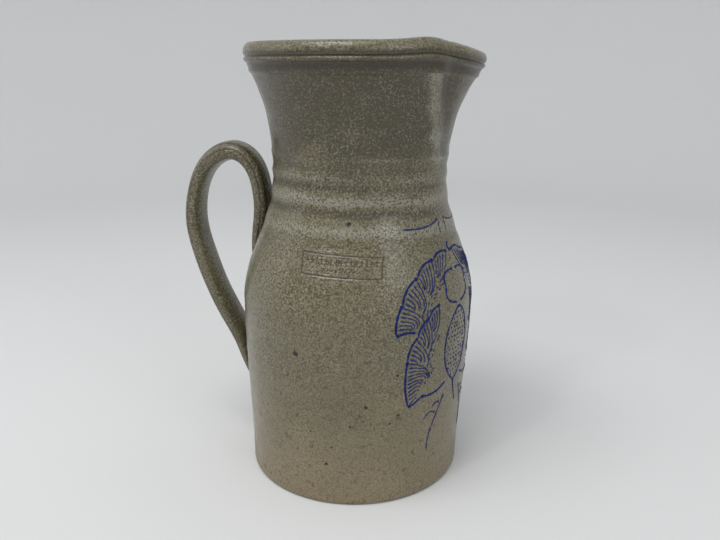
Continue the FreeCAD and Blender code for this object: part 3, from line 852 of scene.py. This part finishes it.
def strap_stations(wall, count):
    """Centre line of the strap in the plane through the handle, and its size shares."""
    line = np.array(STRAP_LINE)
    height, out, wide, thick = line[:, 0] * MM, line[:, 1] * MM, line[:, 2], line[:, 3]
    reach = wall.radius(height) + out
    runs = np.hypot(np.diff(reach), np.diff(height))
    knots = np.concatenate([[0.0], np.cumsum(runs)]) / runs.sum()
    places = np.linspace(0.0, 1.0, count)

    def centre_at(spots):
        held = np.clip(spots, 0.0, 1.0)
        return np.stack([spline(knots, reach, held), spline(knots, height, held)], axis=1)

    run = centre_at(places + STRAP_PROBE) - centre_at(places - STRAP_PROBE)
    tangent = run / np.linalg.norm(run, axis=1)[:, None]
    shares = spline(knots, wide, places), spline(knots, thick, places)
    return places, centre_at(places), tangent, *shares


def strap_section(angles):
    """Section of the strap: flat towards the fingers, crowned outside, with its pulled lines."""
    turn = np.radians(angles)
    cosine, sine = np.cos(turn), np.sin(turn)
    flat = np.abs(cosine) ** FLAT_POWER
    crown = -np.abs(cosine) ** CROWN_POWER
    across = np.where(cosine > 0.0, flat, crown)
    sideways = np.sign(sine) * np.abs(sine) ** EDGE_POWER
    groove = sum(depth * bell(angles, place, width) for place, depth, width in PULL_LINES)
    return across, sideways, groove * MM


def make_handle():
    """The pulled strap handle, its ends pressed into the wall."""
    wall = Wall(settings("sizes"))
    sizes = wall.sizes
    places, centre, tangent, wide, thick = strap_stations(wall, STRAP_ROWS)
    angles = np.arange(STRAP_SIDES) * 360.0 / STRAP_SIDES
    across, sideways, groove = strap_section(angles)
    hand = sum(share * np.sin(waves * places + start) for waves, start, share in HAND_WAVES)
    fade = smooth(places / PULL_FADE) * smooth((1.0 - places) / PULL_FADE)
    half_wide = (sizes.strap_width / 2.0 * wide + HAND_SWAY * hand)[:, None]
    half_thick = (sizes.strap_thickness / 2.0 * thick)[:, None]
    line = groove[None, :] * fade[:, None]
    inward = across[None, :] * half_thick + np.sign(-across)[None, :] * line
    aside = sideways[None, :] * (half_wide - PULL_SIDE * line)
    reach = centre[:, 0, None] + inward * tangent[:, 1, None]
    height = centre[:, 1, None] - inward * tangent[:, 0, None]
    lean = sizes.lean * centre[:, 1, None] / sizes.height
    points = np.stack([lean - reach, -aside, height], axis=-1).reshape(-1, 3)
    faces = ring_faces(STRAP_ROWS, STRAP_SIDES)
    last = (STRAP_ROWS - 1) * STRAP_SIDES
    faces.append(tuple(range(STRAP_SIDES))[::-1])
    faces.append(tuple(range(last, last + STRAP_SIDES)))
    piece = new_piece(
        "pulled_strap_handle", points, faces, salt_glaze(wall, handle=True),
    )
    paint_values(piece, "throwing", np.tile(-groove / (PULL_DEPTH * MM), STRAP_ROWS))
    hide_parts("pulled_handle")
    return piece


# ---- Joint slips ----------------------------------------------------------------------------

def make_joint_slip(name, node, low, high, half_turn, fillet, handle):
    """Slip squeezed out between the strap and the wall, smoothed off with a finger."""
    wall = Wall(settings("sizes"))
    rows = int((high - low) / SLIP_CELL)
    turn = math.radians(2.0 * half_turn)
    columns = int(turn * float(wall.radius((low + high) / 2.0)) / SLIP_CELL)
    height = np.linspace(low, high, rows)[:, None]
    azimuth = HANDLE_AZIMUTH + np.linspace(-half_turn, half_turn, columns)[None, :]
    height, azimuth = np.broadcast_arrays(height, azimuth)
    base = wall.face(azimuth, height).reshape(-1, 3)
    tree = BVHTree.FromPolygons(
        [vertex.co.copy() for vertex in handle.data.vertices],
        [tuple(face.vertices) for face in handle.data.polygons],
    )
    lift = np.zeros(len(base))
    for index, point in enumerate(base):
        spot, normal, _, distance = tree.find_nearest(Vector(point))
        inside = (Vector(point) - spot).dot(normal) < 0.0
        lift[index] = 1.0 if inside else max(1.0 - distance / SLIP_REACH, 0.0) ** 2
    round_pot, slanted, upright = SLIP_WAVES
    waves = np.sin(azimuth * round_pot + height * slanted) * np.sin(height * upright)
    lift = lift.reshape(rows, columns) * (SLIP_EVEN + SLIP_UNEVEN * waves)
    points = wall.face(azimuth, height, fillet * lift - SLIP_DIP).reshape(-1, 3)
    shown = lift > SLIP_EDGE
    faces = []
    for row in range(rows - 1):
        for column in range(columns - 1):
            if shown[row:row + 2, column:column + 2].any():
                start = row * columns + column
                faces.append((start, start + 1, start + columns + 1, start + columns))
    used = sorted({corner for face in faces for corner in face})
    order = {old: new for new, old in enumerate(used)}
    faces = [tuple(order[corner] for corner in face) for face in faces]
    piece = new_piece(name, points[used], faces, joint_slip_glaze(wall))
    thickness = piece.modifiers.new("depth", "SOLIDIFY")
    thickness.thickness = SLIP_DEPTH
    thickness.offset = -1.0
    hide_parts(node)


# ---- Cobalt trails --------------------------------------------------------------------------

def bent(start, bend, end):
    """Places on a bent line from start to end, pulled towards bend."""
    start, bend, end = (np.array(place, float) for place in (start, bend, end))
    length = np.linalg.norm(bend - start) + np.linalg.norm(end - bend)
    share = np.linspace(0.0, 1.0, max(int(length / TRAIL_STEP), 5))[:, None]
    return (1.0 - share) ** 2 * start + 2.0 * (1.0 - share) * share * bend + share ** 2 * end


def mirrored(lines):
    """Lines and their copies on the other side of the blossom."""
    return lines + [line * np.array([-1.0, 1.0]) for line in lines]


def heading(start, end):
    """Direction from one place to another."""
    gap = np.array(end) - np.array(start)
    return gap / np.linalg.norm(gap)


def spans(knots):
    """Neighbouring knots of a petal's edge, and the directions along it and outwards."""
    for first, second in zip(knots, knots[1:]):
        along = heading(first, second)
        yield np.array(first), np.array(second), along, np.array([-along[1], along[0]])


def scallops(knots, bulge):
    """Scallops between the knots of a petal's edge, each bent outwards."""
    return [
        bent(first, (first + second) / 2.0 + outward * bulge, second)
        for first, second, _, outward in spans(knots)
    ]


def combed(knots, root, bulge, draw):
    """Nested hooks in each scallop: in from its edge, then down towards the petal's tip."""
    lines = []
    for first, second, along, outward in spans(knots):
        length = np.linalg.norm(second - first)
        count = max(int(length / HOOK_GAP), 4)
        for step in range(count):
            share = (step + HOOK_FIRST) / (count + HOOK_ROOM)
            rise = bulge * 2.0 * share * (1.0 - share)
            start = first + (second - first) * share + outward * (rise - HOOK_INSET)
            inward = heading(start, root)
            elbow = start + inward * (HOOK_REACH - HOOK_SHRINK * share) * draw.uniform(*HOOK_UNEVEN)
            drop = DROP_LEAST + min(0.5 * length, DROP_MOST) * (1.0 - share)
            end = elbow + along * drop * draw.uniform(*DROP_UNEVEN) - inward * HOOK_CURL
            lines.append(bent(start, elbow, end))
        for step in range(TICKS):
            place = first + (second - first) * (step + 0.5) / TICKS
            inward = heading(place, root)
            start = place + inward * draw.uniform(*TICK_DEPTH)
            lines.append(bent(start, start + along, start + 2.0 * along + 0.5 * inward))
    return lines


def blossom(draw):
    """Every line of the blossom, in named groups of (lines, width share, strength)."""
    edges = scallops(UPPER_PETAL, UPPER_BULGE) + scallops(LOWER_PETAL, LOWER_BULGE)
    edges.append(bent((46.0, 103.8), (40.0, 106.5), (34.4, 104.2)))
    edges.append(bent((36.0, 60.3), (31.5, 61.0), (28.0, 65.0)))
    edges.append(bent((28.0, 65.0), (18.0, 62.5), (8.8, 69.0)))
    curl = bent((1.6, 142.6), (-2.0, 147.5), (2.6, 147.5))
    veins = combed(UPPER_PETAL, UPPER_ROOT, UPPER_BULGE, draw)
    veins += combed(LOWER_PETAL, LOWER_ROOT, LOWER_BULGE, draw)
    turns = np.radians(np.linspace(POD_GAP, 180.0 - POD_GAP, POD_PLACES))
    half = POD_HALF_WIDTH * np.sin(turns) ** POD_POINT
    side = np.stack([half, POD_MIDDLE + POD_HALF_HEIGHT * np.cos(turns)], axis=1)
    pod = [
        side,
        bent((1.2, 133.6), (14.0, 134.8), (10.6, 125.0)),
        bent((10.6, 125.0), (14.8, 117.0), (1.4, 115.0)),
    ]
    stalk = bent((-0.6, 67.8), (1.0, 60.0), (5.5, 51.0))
    seeds = []
    for row in range(SEED_ROWS):
        up = POD_MIDDLE + SEED_RISE * (row - SEED_ROWS // 2)
        level = 1.0 - ((up - POD_MIDDLE) / POD_HALF_HEIGHT) ** 2
        half = POD_HALF_WIDTH * max(level, 0.0) ** (POD_POINT / 2.0) - SEED_MARGIN
        for across in np.arange(-half, half, SEED_GAP) + SEED_STAGGER * (row % 2):
            aside = draw.uniform(-SEED_JITTER, SEED_JITTER)
            start = np.array([across + aside, up + draw.uniform(*SEED_LIFT)])
            tilt = np.array([draw.uniform(-SEED_TILT, SEED_TILT), -draw.uniform(*SEED_LENGTH)])
            seeds.append(bent(start, start + 0.5 * tilt, start + tilt))
    sprigs = [
        bent((3.2, 161.0), (11.0, 156.8), (29.5, 158.4)),
        bent((2.6, 159.2), (4.4, 156.0), (2.8, 152.5)),
        bent((9.0, 60.5), (13.5, 52.0), (17.6, 42.0)),
        bent((17.6, 42.0), (20.8, 34.0), (19.0, 27.5)),
        bent((15.4, 50.6), (20.0, 55.5), (24.2, 49.0)),
        bent((12.4, 56.5), (16.0, 59.5), (18.4, 55.0)),
    ]
    return {
        "cobalt_petal_edges": (mirrored(edges) + [curl], 1.0, 1.0),
        "cobalt_petal_veins": (mirrored(veins), 0.5, 0.78),
        "cobalt_seed_pod": (mirrored(pod) + [stalk], 0.9, 0.95),
        "cobalt_seeds": (seeds, 0.6, 0.65),
        "cobalt_sprigs": (mirrored(sprigs), 0.78, 0.5),
    }


def trail_section():
    """Section of a trail: a dome on a narrow bed, as (sideways, up, depth) shares."""
    turns = np.radians(np.linspace(0.0, 180.0, TRAIL_SECTION + 1))
    dome = [(math.cos(turn), math.sin(turn), 0.0) for turn in turns]
    return dome + [(-BED_WIDTH, 0.0, 1.0), (BED_WIDTH, 0.0, 1.0)]


def trail(wall, line, width, rise, draw):
    """Points and faces of one trail of slip along a line of (across, up) places."""
    height = line[:, 1] * MM
    azimuth = BLOSSOM_AZIMUTH + np.degrees(line[:, 0] * MM / wall.radius(height))
    seat = wall.face(azimuth, height)
    forward = np.gradient(seat, axis=0)
    forward /= np.linalg.norm(forward, axis=1)[:, None]
    normal = wall.face(azimuth, height, 1.0 * MM) - seat
    normal /= np.linalg.norm(normal, axis=1)[:, None]
    side = np.cross(normal, forward)
    count = len(line)
    along = np.arange(count) * TRAIL_STEP
    phase = draw.uniform(0.0, 6.3)
    waver = sum(share * np.sin(along * waves + part * phase) for share, waves, part in TRAIL_WAVES)
    blob = 1.0 + BLOB_SHARE * bell(along, BLOB_PLACE, BLOB_WIDTH)
    ends = np.minimum(np.arange(count) / TRAIL_NOSE, np.arange(count)[::-1] / TRAIL_TAIL)
    taper = np.sqrt(np.clip(TRAIL_TIP + ends, 0.0, 1.0))
    half = (width / 2.0 * (1.0 + waver) * blob * taper)[:, None]
    tall = (rise * np.minimum(blob, BLOB_RISE) * taper)[:, None]
    section = trail_section()
    rings = [
        seat + side * half * across + normal * (tall * up - TRAIL_BED * depth)
        for across, up, depth in section
    ]
    points = np.stack(rings, axis=1).reshape(-1, 3)
    faces = ring_faces(count, len(section))
    faces.append(tuple(range(len(section)))[::-1])
    last = (count - 1) * len(section)
    faces.append(tuple(range(last, last + len(section))))
    return points, faces


def make_trails(node, lines, width, strength, draw):
    """One named group of cobalt trails, as one piece."""
    sizes = settings("sizes")
    wall = Wall(sizes)
    vertices, faces = [], []
    for line in lines:
        rise = sizes.trail_height * (TRAIL_LEAST + (1.0 - TRAIL_LEAST) * width)
        points, sides = trail(wall, line, sizes.trail_width * width, rise, draw)
        faces += [tuple(corner + len(vertices) for corner in face) for face in sides]
        vertices += list(points)
    name = node.replace("cobalt", "blue")
    piece = new_piece(name, vertices, faces, cobalt_slip(node, strength))
    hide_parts(node)


# ---- Finishes -------------------------------------------------------------------------------

class Recipe:
    """A new material, with short ways to add its nodes."""

    def __init__(self, name):
        self.material = bpy.data.materials.new(name)
        self.material.use_nodes = True
        self.tree = self.material.node_tree
        self.tree.nodes.clear()
        self.shader = self.tree.nodes.new("ShaderNodeBsdfPrincipled")
        output = self.tree.nodes.new("ShaderNodeOutputMaterial")
        self.tree.links.new(self.shader.outputs[0], output.inputs["Surface"])
        self.place = self.tree.nodes.new("ShaderNodeTexCoord").outputs["Object"]

    def feed(self, socket, value):
        """Link a socket, or set its own value."""
        if isinstance(value, bpy.types.NodeSocket):
            self.tree.links.new(value, socket)
        elif hasattr(value, "__len__") and len(value) == 3 and socket.type == "RGBA":
            socket.default_value = (*value, 1.0)
        else:
            socket.default_value = value

    def add(self, kind, *values, **choices):
        """A new node with its choices made and its first sockets fed."""
        node = self.tree.nodes.new("ShaderNode" + kind)
        for name, choice in choices.items():
            setattr(node, name, choice)
        for socket, value in zip(node.inputs, values):
            self.feed(socket, value)
        return node

    def math(self, operation, first, second):
        """Result of a sum on two numbers."""
        return self.add("Math", first, second, operation=operation).outputs[0]

    def times(self, first, second):
        """Two numbers multiplied."""
        return self.math("MULTIPLY", first, second)

    def vector(self, operation, first, second):
        """Result of a sum on two vectors."""
        node = self.add("VectorMath", first, second, operation=operation)
        return node.outputs["Value" if operation == "DISTANCE" else "Vector"]

    def noise(self, scale, detail=2.0, roughness=0.5, stretch=(1.0, 1.0, 1.0), shift=0.0):
        """Soft noise at a scale in features for each metre, stretched along the axes."""
        node = self.add("TexNoise")
        moved = self.vector("MULTIPLY_ADD", self.place, stretch)
        moved.node.inputs[2].default_value = (shift, shift, shift)
        self.feed(node.inputs["Vector"], moved)
        self.feed(node.inputs["Scale"], scale)
        self.feed(node.inputs["Detail"], detail)
        self.feed(node.inputs["Roughness"], roughness)
        return node.outputs[0]

    def cells(self, scale):
        """Distance to the nearest of scattered points, and that point's random colour."""
        node = self.add("TexVoronoi", self.place)
        self.feed(node.inputs["Scale"], scale)
        return node.outputs["Distance"], node.outputs["Color"]

    def spread(self, value, low, high, to_low=0.0, to_high=1.0):
        """A number moved from one range to another, held inside it."""
        limits = (low, high, to_low, to_high)
        return self.add("MapRange", value, *limits, interpolation_type="SMOOTHSTEP").outputs[0]

    def mix(self, share, first, second):
        """Two colours mixed."""
        node = self.add("Mix", share, data_type="RGBA")
        self.feed(node.inputs[6], first)
        self.feed(node.inputs[7], second)
        return node.outputs[2]

    def value_of(self, name):
        """A number kept on the mesh's points."""
        return self.add("Attribute", attribute_name=name).outputs["Fac"]

    def bump(self, height, distance, strength=1.0, normal=None):
        """A bump of a real depth in metres, over an earlier one."""
        node = self.add("Bump")
        self.feed(node.inputs["Height"], height)
        self.feed(node.inputs["Distance"], distance)
        self.feed(node.inputs["Strength"], strength)
        if normal:
            self.feed(node.inputs["Normal"], normal)
        return node.outputs[0]

    def finish(self, colour, roughness, normal, **own):
        """Join the colour, roughness and bump to the shader, and set its own values."""
        self.feed(self.shader.inputs["Base Color"], colour)
        self.feed(self.shader.inputs["Roughness"], roughness)
        self.feed(self.shader.inputs["Normal"], normal)
        for name, value in own.items():
            self.feed(self.shader.inputs[name.replace("_", " ")], value)
        return self.material


def glaze_ground(recipe, colours, handle):
    """Broad colours of the salt glaze: toasted foot, grey belly, darker ringed neck (olive glaze with
    painted shade under the flare), pale rim.
    """
    height = recipe.add("SeparateXYZ", recipe.place).outputs["Z"]
    cloud = recipe.noise(CLOUDS, 3.0, 0.55)
    wander = recipe.spread(cloud, *SOFT, -BAND_WANDER, BAND_WANDER)
    level = recipe.math("ADD", height, wander)
    toast = recipe.spread(level, *FOOT_BAND, 0.95, 0.0)
    colour = recipe.mix(toast, colours.body, colours.toasted)
    if handle:
        olive = recipe.spread(cloud, 0.42, 0.62, 0.02, 0.26)
    else:
        # Darker round the neck: partly olive glaze, partly painted shade under the flare.
        neck = recipe.spread(level, *NECK_SHADE_BAND, 0.0, 0.88)
        rim = recipe.spread(height, *RIM_BAND, 1.0, 0.12)
        olive = recipe.times(neck, rim)
    colour = recipe.mix(olive, colour, colours.shade)
    rings = recipe.value_of("throwing")
    broken = recipe.noise(1.0, 3.0, 0.6, stretch=RING_STREAKS)
    broken = recipe.spread(broken, 0.3, 0.6, 0.5, 1.0)
    hollow = recipe.times(recipe.spread(rings, -0.05, -0.8, 0.0, 0.85), broken)
    colour = recipe.mix(hollow, colour, colours.shade)
    ridge = recipe.times(recipe.spread(rings, 0.08, 0.85, 0.0, 0.8), broken)
    return recipe.mix(ridge, colour, colours.ash), height


def glaze_specks(recipe, colour, height, colours, wall):
    """Fine light and dark grain of the salt glaze, with iron specks."""
    grain = recipe.noise(GRAIN, 2.0, 0.6)
    patchy = recipe.spread(recipe.noise(PATCHES, 2.0, 0.5, shift=3.1), 0.35, 0.65, 0.75, 1.0)
    patchy = recipe.times(patchy, recipe.spread(height, *GRAIN_BAND, 0.5, 1.0))
    dark = recipe.times(recipe.spread(grain, 0.51, 0.38, 0.0, 0.95), patchy)
    colour = recipe.mix(dark, colour, colours.shade)
    bright = recipe.spread(height, *NECK_SHADE_BAND, 0.75, 0.5)
    light = recipe.times(recipe.spread(grain, 0.52, 0.66), recipe.times(patchy, bright))
    colour = recipe.mix(light, colour, colours.ash)
    brown = recipe.spread(recipe.noise(BROWN_SPOTS, 3.0, 0.65, shift=7.7), 0.58, 0.70, 0.0, 0.75)
    colour = recipe.mix(brown, colour, SPOT_BROWN)
    distance, random_colour = recipe.cells(SPECK_CELLS)
    chosen = recipe.math("GREATER_THAN", random_colour, SPECK_CHOICE)
    dots = recipe.times(recipe.spread(distance, 0.16, 0.06), chosen)
    dots = recipe.times(dots, SPECK_STRENGTH)
    jitter = recipe.spread(recipe.noise(SPECK_RAGS, 1.0), *SOFT, -SPECK_JITTER, SPECK_JITTER)
    for azimuth, level, radius in IRON_SPECKS:
        spot = wall.face(np.array(azimuth), np.array(level * MM))
        gap = recipe.vector("DISTANCE", recipe.place, tuple(spot))
        gap = recipe.math("ADD", gap, jitter)
        edge = [share * radius * MM for share in SPECK_EDGE]
        dots = recipe.math("MAXIMUM", dots, recipe.spread(gap, *edge))
    return recipe.mix(dots, colour, colours.iron), grain, dots


def salt_glaze(wall, handle=False):
    """Glossy, orange-peeled salt glaze over grey-green stoneware."""
    colours = settings("colours")
    recipe = Recipe("salt_glaze_handle" if handle else "salt_glaze_body")
    ground, height = glaze_ground(recipe, colours, handle)
    colour, grain, dots = glaze_specks(recipe, ground, height, colours, wall)
    # Painted shade, partly brown glaze, in the panel's lines, the flutes, the collar's bands and the
    # grooves of the handle and the throwing rings.
    crease_shade_and_stain = recipe.times(recipe.value_of("pressed"), 0.92)
    groove = recipe.spread(recipe.value_of("throwing"), -0.25, -1.0, 0.0, 0.6 if handle else 0.1)
    colour = recipe.mix(recipe.math("MAXIMUM", crease_shade_and_stain, groove), colour, CREASE_BROWN_AND_SHADE)
    peel = recipe.noise(PEEL, 2.0, 0.55, shift=1.7)
    pits, _ = recipe.cells(PITS)
    rough = recipe.spread(recipe.noise(GLOSS_PATCHES, 3.0, 0.6, shift=5.0), *SOFT, *GLAZE_GLOSS)
    dry = recipe.spread(height, *DRY_BAND, DRY_FOOT, 0.0)
    rough = recipe.math("ADD", recipe.math("ADD", rough, dry), recipe.times(grain, 0.08))
    normal = recipe.bump(peel, PEEL_DEPTH, 0.75)
    normal = recipe.bump(pits, PIT_DEPTH, 0.55, normal)
    normal = recipe.bump(dots, -SPECK_DEPTH, 0.5, normal)
    return recipe.finish(
        colour, rough, normal, Coat_Weight=0.32, Coat_Roughness=0.09, Coat_Normal=normal, IOR=1.45,
    )


def joint_slip_glaze(wall):
    """The same glaze over the slip that joins the handle, a little browner and duller."""
    colours = settings("colours")
    recipe = Recipe("salt_glaze_joint")
    ground, height = glaze_ground(recipe, colours, False)
    brown = recipe.spread(recipe.noise(SLIP_CLOUDS, 3.0, 0.6), 0.35, 0.7, 0.15, 0.6)
    ground = recipe.mix(brown, ground, SLIP_BROWN)
    colour, grain, _ = glaze_specks(recipe, ground, height, colours, wall)
    rough = recipe.spread(grain, *SOFT, *SLIP_GLOSS)
    normal = recipe.bump(recipe.noise(SLIP_PEEL, 2.0, 0.55), SLIP_PEEL_DEPTH, 0.7)
    return recipe.finish(colour, rough, normal, Coat_Weight=0.15, Coat_Roughness=0.2, IOR=1.5)


def cobalt_slip(name, strength):
    """Cobalt slip under the glaze: deep blue where thick, watery where thin."""
    colours = settings("colours")
    recipe = Recipe(name + "_glaze")
    cloud = recipe.noise(COBALT_CLOUDS, 3.0, 0.6)
    weak = 1.0 - strength
    thin = recipe.spread(cloud, 0.36, 0.68, 0.5 * weak, 0.12 + 0.8 * weak)
    watery = recipe.mix(0.5, colours.body, WATERY_BLUE)
    colour = recipe.mix(thin, colours.cobalt, watery)
    deep = recipe.spread(recipe.noise(DEEP_SPOTS, 1.0, 0.5, shift=2.0), 0.5, 0.68, 0.0, 0.55)
    colour = recipe.mix(deep, colour, DEEP_BLUE)
    rough = recipe.spread(cloud, *SOFT, *COBALT_GLOSS)
    normal = recipe.bump(recipe.noise(COBALT_PEEL, 2.0, 0.5), COBALT_PEEL_DEPTH, 0.6)
    return recipe.finish(colour, rough, normal, Specular_IOR_Level=0.16)


def plain_ground():
    """Pale matt paper with a faint tooth, for the floor and the backdrop."""
    colours = settings("colours")
    recipe = Recipe("pale_paper")
    cloud = recipe.spread(recipe.noise(PAPER_CLOUDS, 2.0), *SOFT, 0.0, 0.06)
    colour = recipe.mix(cloud, colours.floor, PAPER_SHADE)
    normal = recipe.bump(recipe.noise(PAPER_TOOTH, 2.0), PAPER_DEPTH, 0.2)
    return recipe.finish(colour, 0.9, normal, Specular_IOR_Level=0.15)


# ---- Stage ----------------------------------------------------------------------------------

def make_stage():
    """A pale floor that sweeps up all round into a backdrop."""
    profile = [(STAGE_FLAT * share, 0.0) for share in STAGE_RINGS]
    for turn in np.radians(np.linspace(STAGE_TURN, 0.0, SWEEP_RINGS)):
        profile.append((STAGE_FLAT + STAGE_SWEEP * math.cos(turn), STAGE_SWEEP * (1.0 + math.sin(turn))))
    profile.append((STAGE_FLAT + STAGE_SWEEP, STAGE_WALL))
    angles = np.arange(STAGE_COLUMNS) * 2.0 * math.pi / STAGE_COLUMNS
    points = [
        (radius * math.cos(angle), radius * math.sin(angle), height)
        for radius, height in profile for angle in angles
    ]
    faces = [face[::-1] for face in ring_faces(len(profile), STAGE_COLUMNS)]
    faces.append(tuple(range(STAGE_COLUMNS)))
    mesh = bpy.data.meshes.new("pale_sweep")
    mesh.from_pydata(points, [], faces)
    mesh.shade_smooth()
    mesh.materials.append(plain_ground())
    sweep = bpy.data.objects.new("pale_sweep", mesh)
    bpy.context.scene.collection.objects.link(sweep)


def make_camera():
    """The camera, at a person's height above the table."""
    stage = settings("stage")
    camera = bpy.data.objects.new("camera", bpy.data.cameras.new("camera"))
    camera.data.lens = stage.lens
    camera.data.sensor_width = SENSOR_WIDTH
    camera.data.clip_start = NEAREST
    camera.location = stage.camera_place
    camera.rotation_euler = (math.pi / 2.0 - stage.camera_pitch, 0.0, stage.camera_turn)
    bpy.context.scene.collection.objects.link(camera)
    bpy.context.scene.camera = camera


def add_light(name, place, aim, size, power, colour):
    """A soft light that points at a place."""
    light = bpy.data.lights.new(name, "AREA")
    light.shape = "RECTANGLE"
    light.size, light.size_y = size
    light.energy = power
    light.color = colour
    lamp = bpy.data.objects.new(name, light)
    lamp.location = place
    lamp.rotation_euler = (Vector(aim) - Vector(place)).to_track_quat("-Z", "Y").to_euler()
    bpy.context.scene.collection.objects.link(lamp)


def make_lights():
    """Soft lights above, on both sides and in front, with an even sky."""
    stage = settings("stage")
    middle = (0.0, 0.0, BODY_HIGH.z / 2.0)
    for name, (place, size, colour) in LIGHTS.items():
        add_light(name, place, middle, size, getattr(stage, name), colour)
    world = bpy.data.worlds.new("even_sky")
    world.use_nodes = True
    ground = world.node_tree.nodes["Background"]
    ground.inputs["Color"].default_value = (*SKY_COLOUR, 1.0)
    ground.inputs["Strength"].default_value = stage.sky
    bpy.context.scene.world = world
    bpy.context.scene.view_settings.view_transform = "Standard"


# ---- Operators and panel --------------------------------------------------------------------

class PITCHER_OT_stage(bpy.types.Operator):
    """Set the camera, the lights and the pale floor"""

    bl_idname = "pitcher.stage"
    bl_label = "Set the stage"

    def execute(self, context):
        make_camera()
        make_lights()
        make_stage()
        return {"FINISHED"}


class PITCHER_OT_body(bpy.types.Operator):
    """Build the thrown body with its collar, lip and impressed panel"""

    bl_idname = "pitcher.body"
    bl_label = "Throw the body"

    def execute(self, context):
        make_body()
        return {"FINISHED"}


class PITCHER_OT_handle(bpy.types.Operator):
    """Build the pulled handle and the slip that joins it to the wall"""

    bl_idname = "pitcher.handle"
    bl_label = "Pull the handle"

    def execute(self, context):
        handle = make_handle()
        for name, node, half_turn, fillet in JOINT_SLIPS:
            low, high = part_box(node)
            span = low.z - SLIP_BELOW, high.z + SLIP_ABOVE
            make_joint_slip(name, node, *span, half_turn, fillet, handle)
        return {"FINISHED"}


class PITCHER_OT_blossom(bpy.types.Operator):
    """Trail the cobalt blossom over the belly"""

    bl_idname = "pitcher.blossom"
    bl_label = "Trail the blossom"

    def execute(self, context):
        draw = random.Random(SEED)
        for node, (lines, width, strength) in blossom(draw).items():
            make_trails(node, lines, width, strength, draw)
        return {"FINISHED"}


STEPS = (PITCHER_OT_stage, PITCHER_OT_body, PITCHER_OT_handle, PITCHER_OT_blossom)


class PITCHER_PT_steps(bpy.types.Panel):
    """Steps of the pitcher, in the order they are made"""

    bl_idname = "PITCHER_PT_steps"
    bl_label = "Pitcher"
    bl_space_type = "VIEW_3D"
    bl_region_type = "UI"
    bl_category = "Pitcher"

    def draw(self, context):
        for step in STEPS:
            self.layout.operator(step.bl_idname)


GROUPS = {"sizes": PitcherSizes, "colours": PitcherColours, "stage": PitcherStage}


def register():
    """Make the values, operators and panel known."""
    for kind, group in GROUPS.items():
        bpy.utils.register_class(group)
        setattr(bpy.types.Scene, "pitcher_" + kind, PointerProperty(type=group))
    for step in STEPS:
        bpy.utils.register_class(step)
    bpy.utils.register_class(PITCHER_PT_steps)


def unregister():
    """Take the values, operators and panel away again."""
    bpy.utils.unregister_class(PITCHER_PT_steps)
    for step in reversed(STEPS):
        bpy.utils.unregister_class(step)
    for kind, group in reversed(GROUPS.items()):
        delattr(bpy.types.Scene, "pitcher_" + kind)
        bpy.utils.unregister_class(group)


def main():
    """Make the pitcher step by step."""
    register()
    for step in STEPS:
        group, name = step.bl_idname.split(".")
        getattr(getattr(bpy.ops, group), name)()


if __name__ == "__main__":
    main()
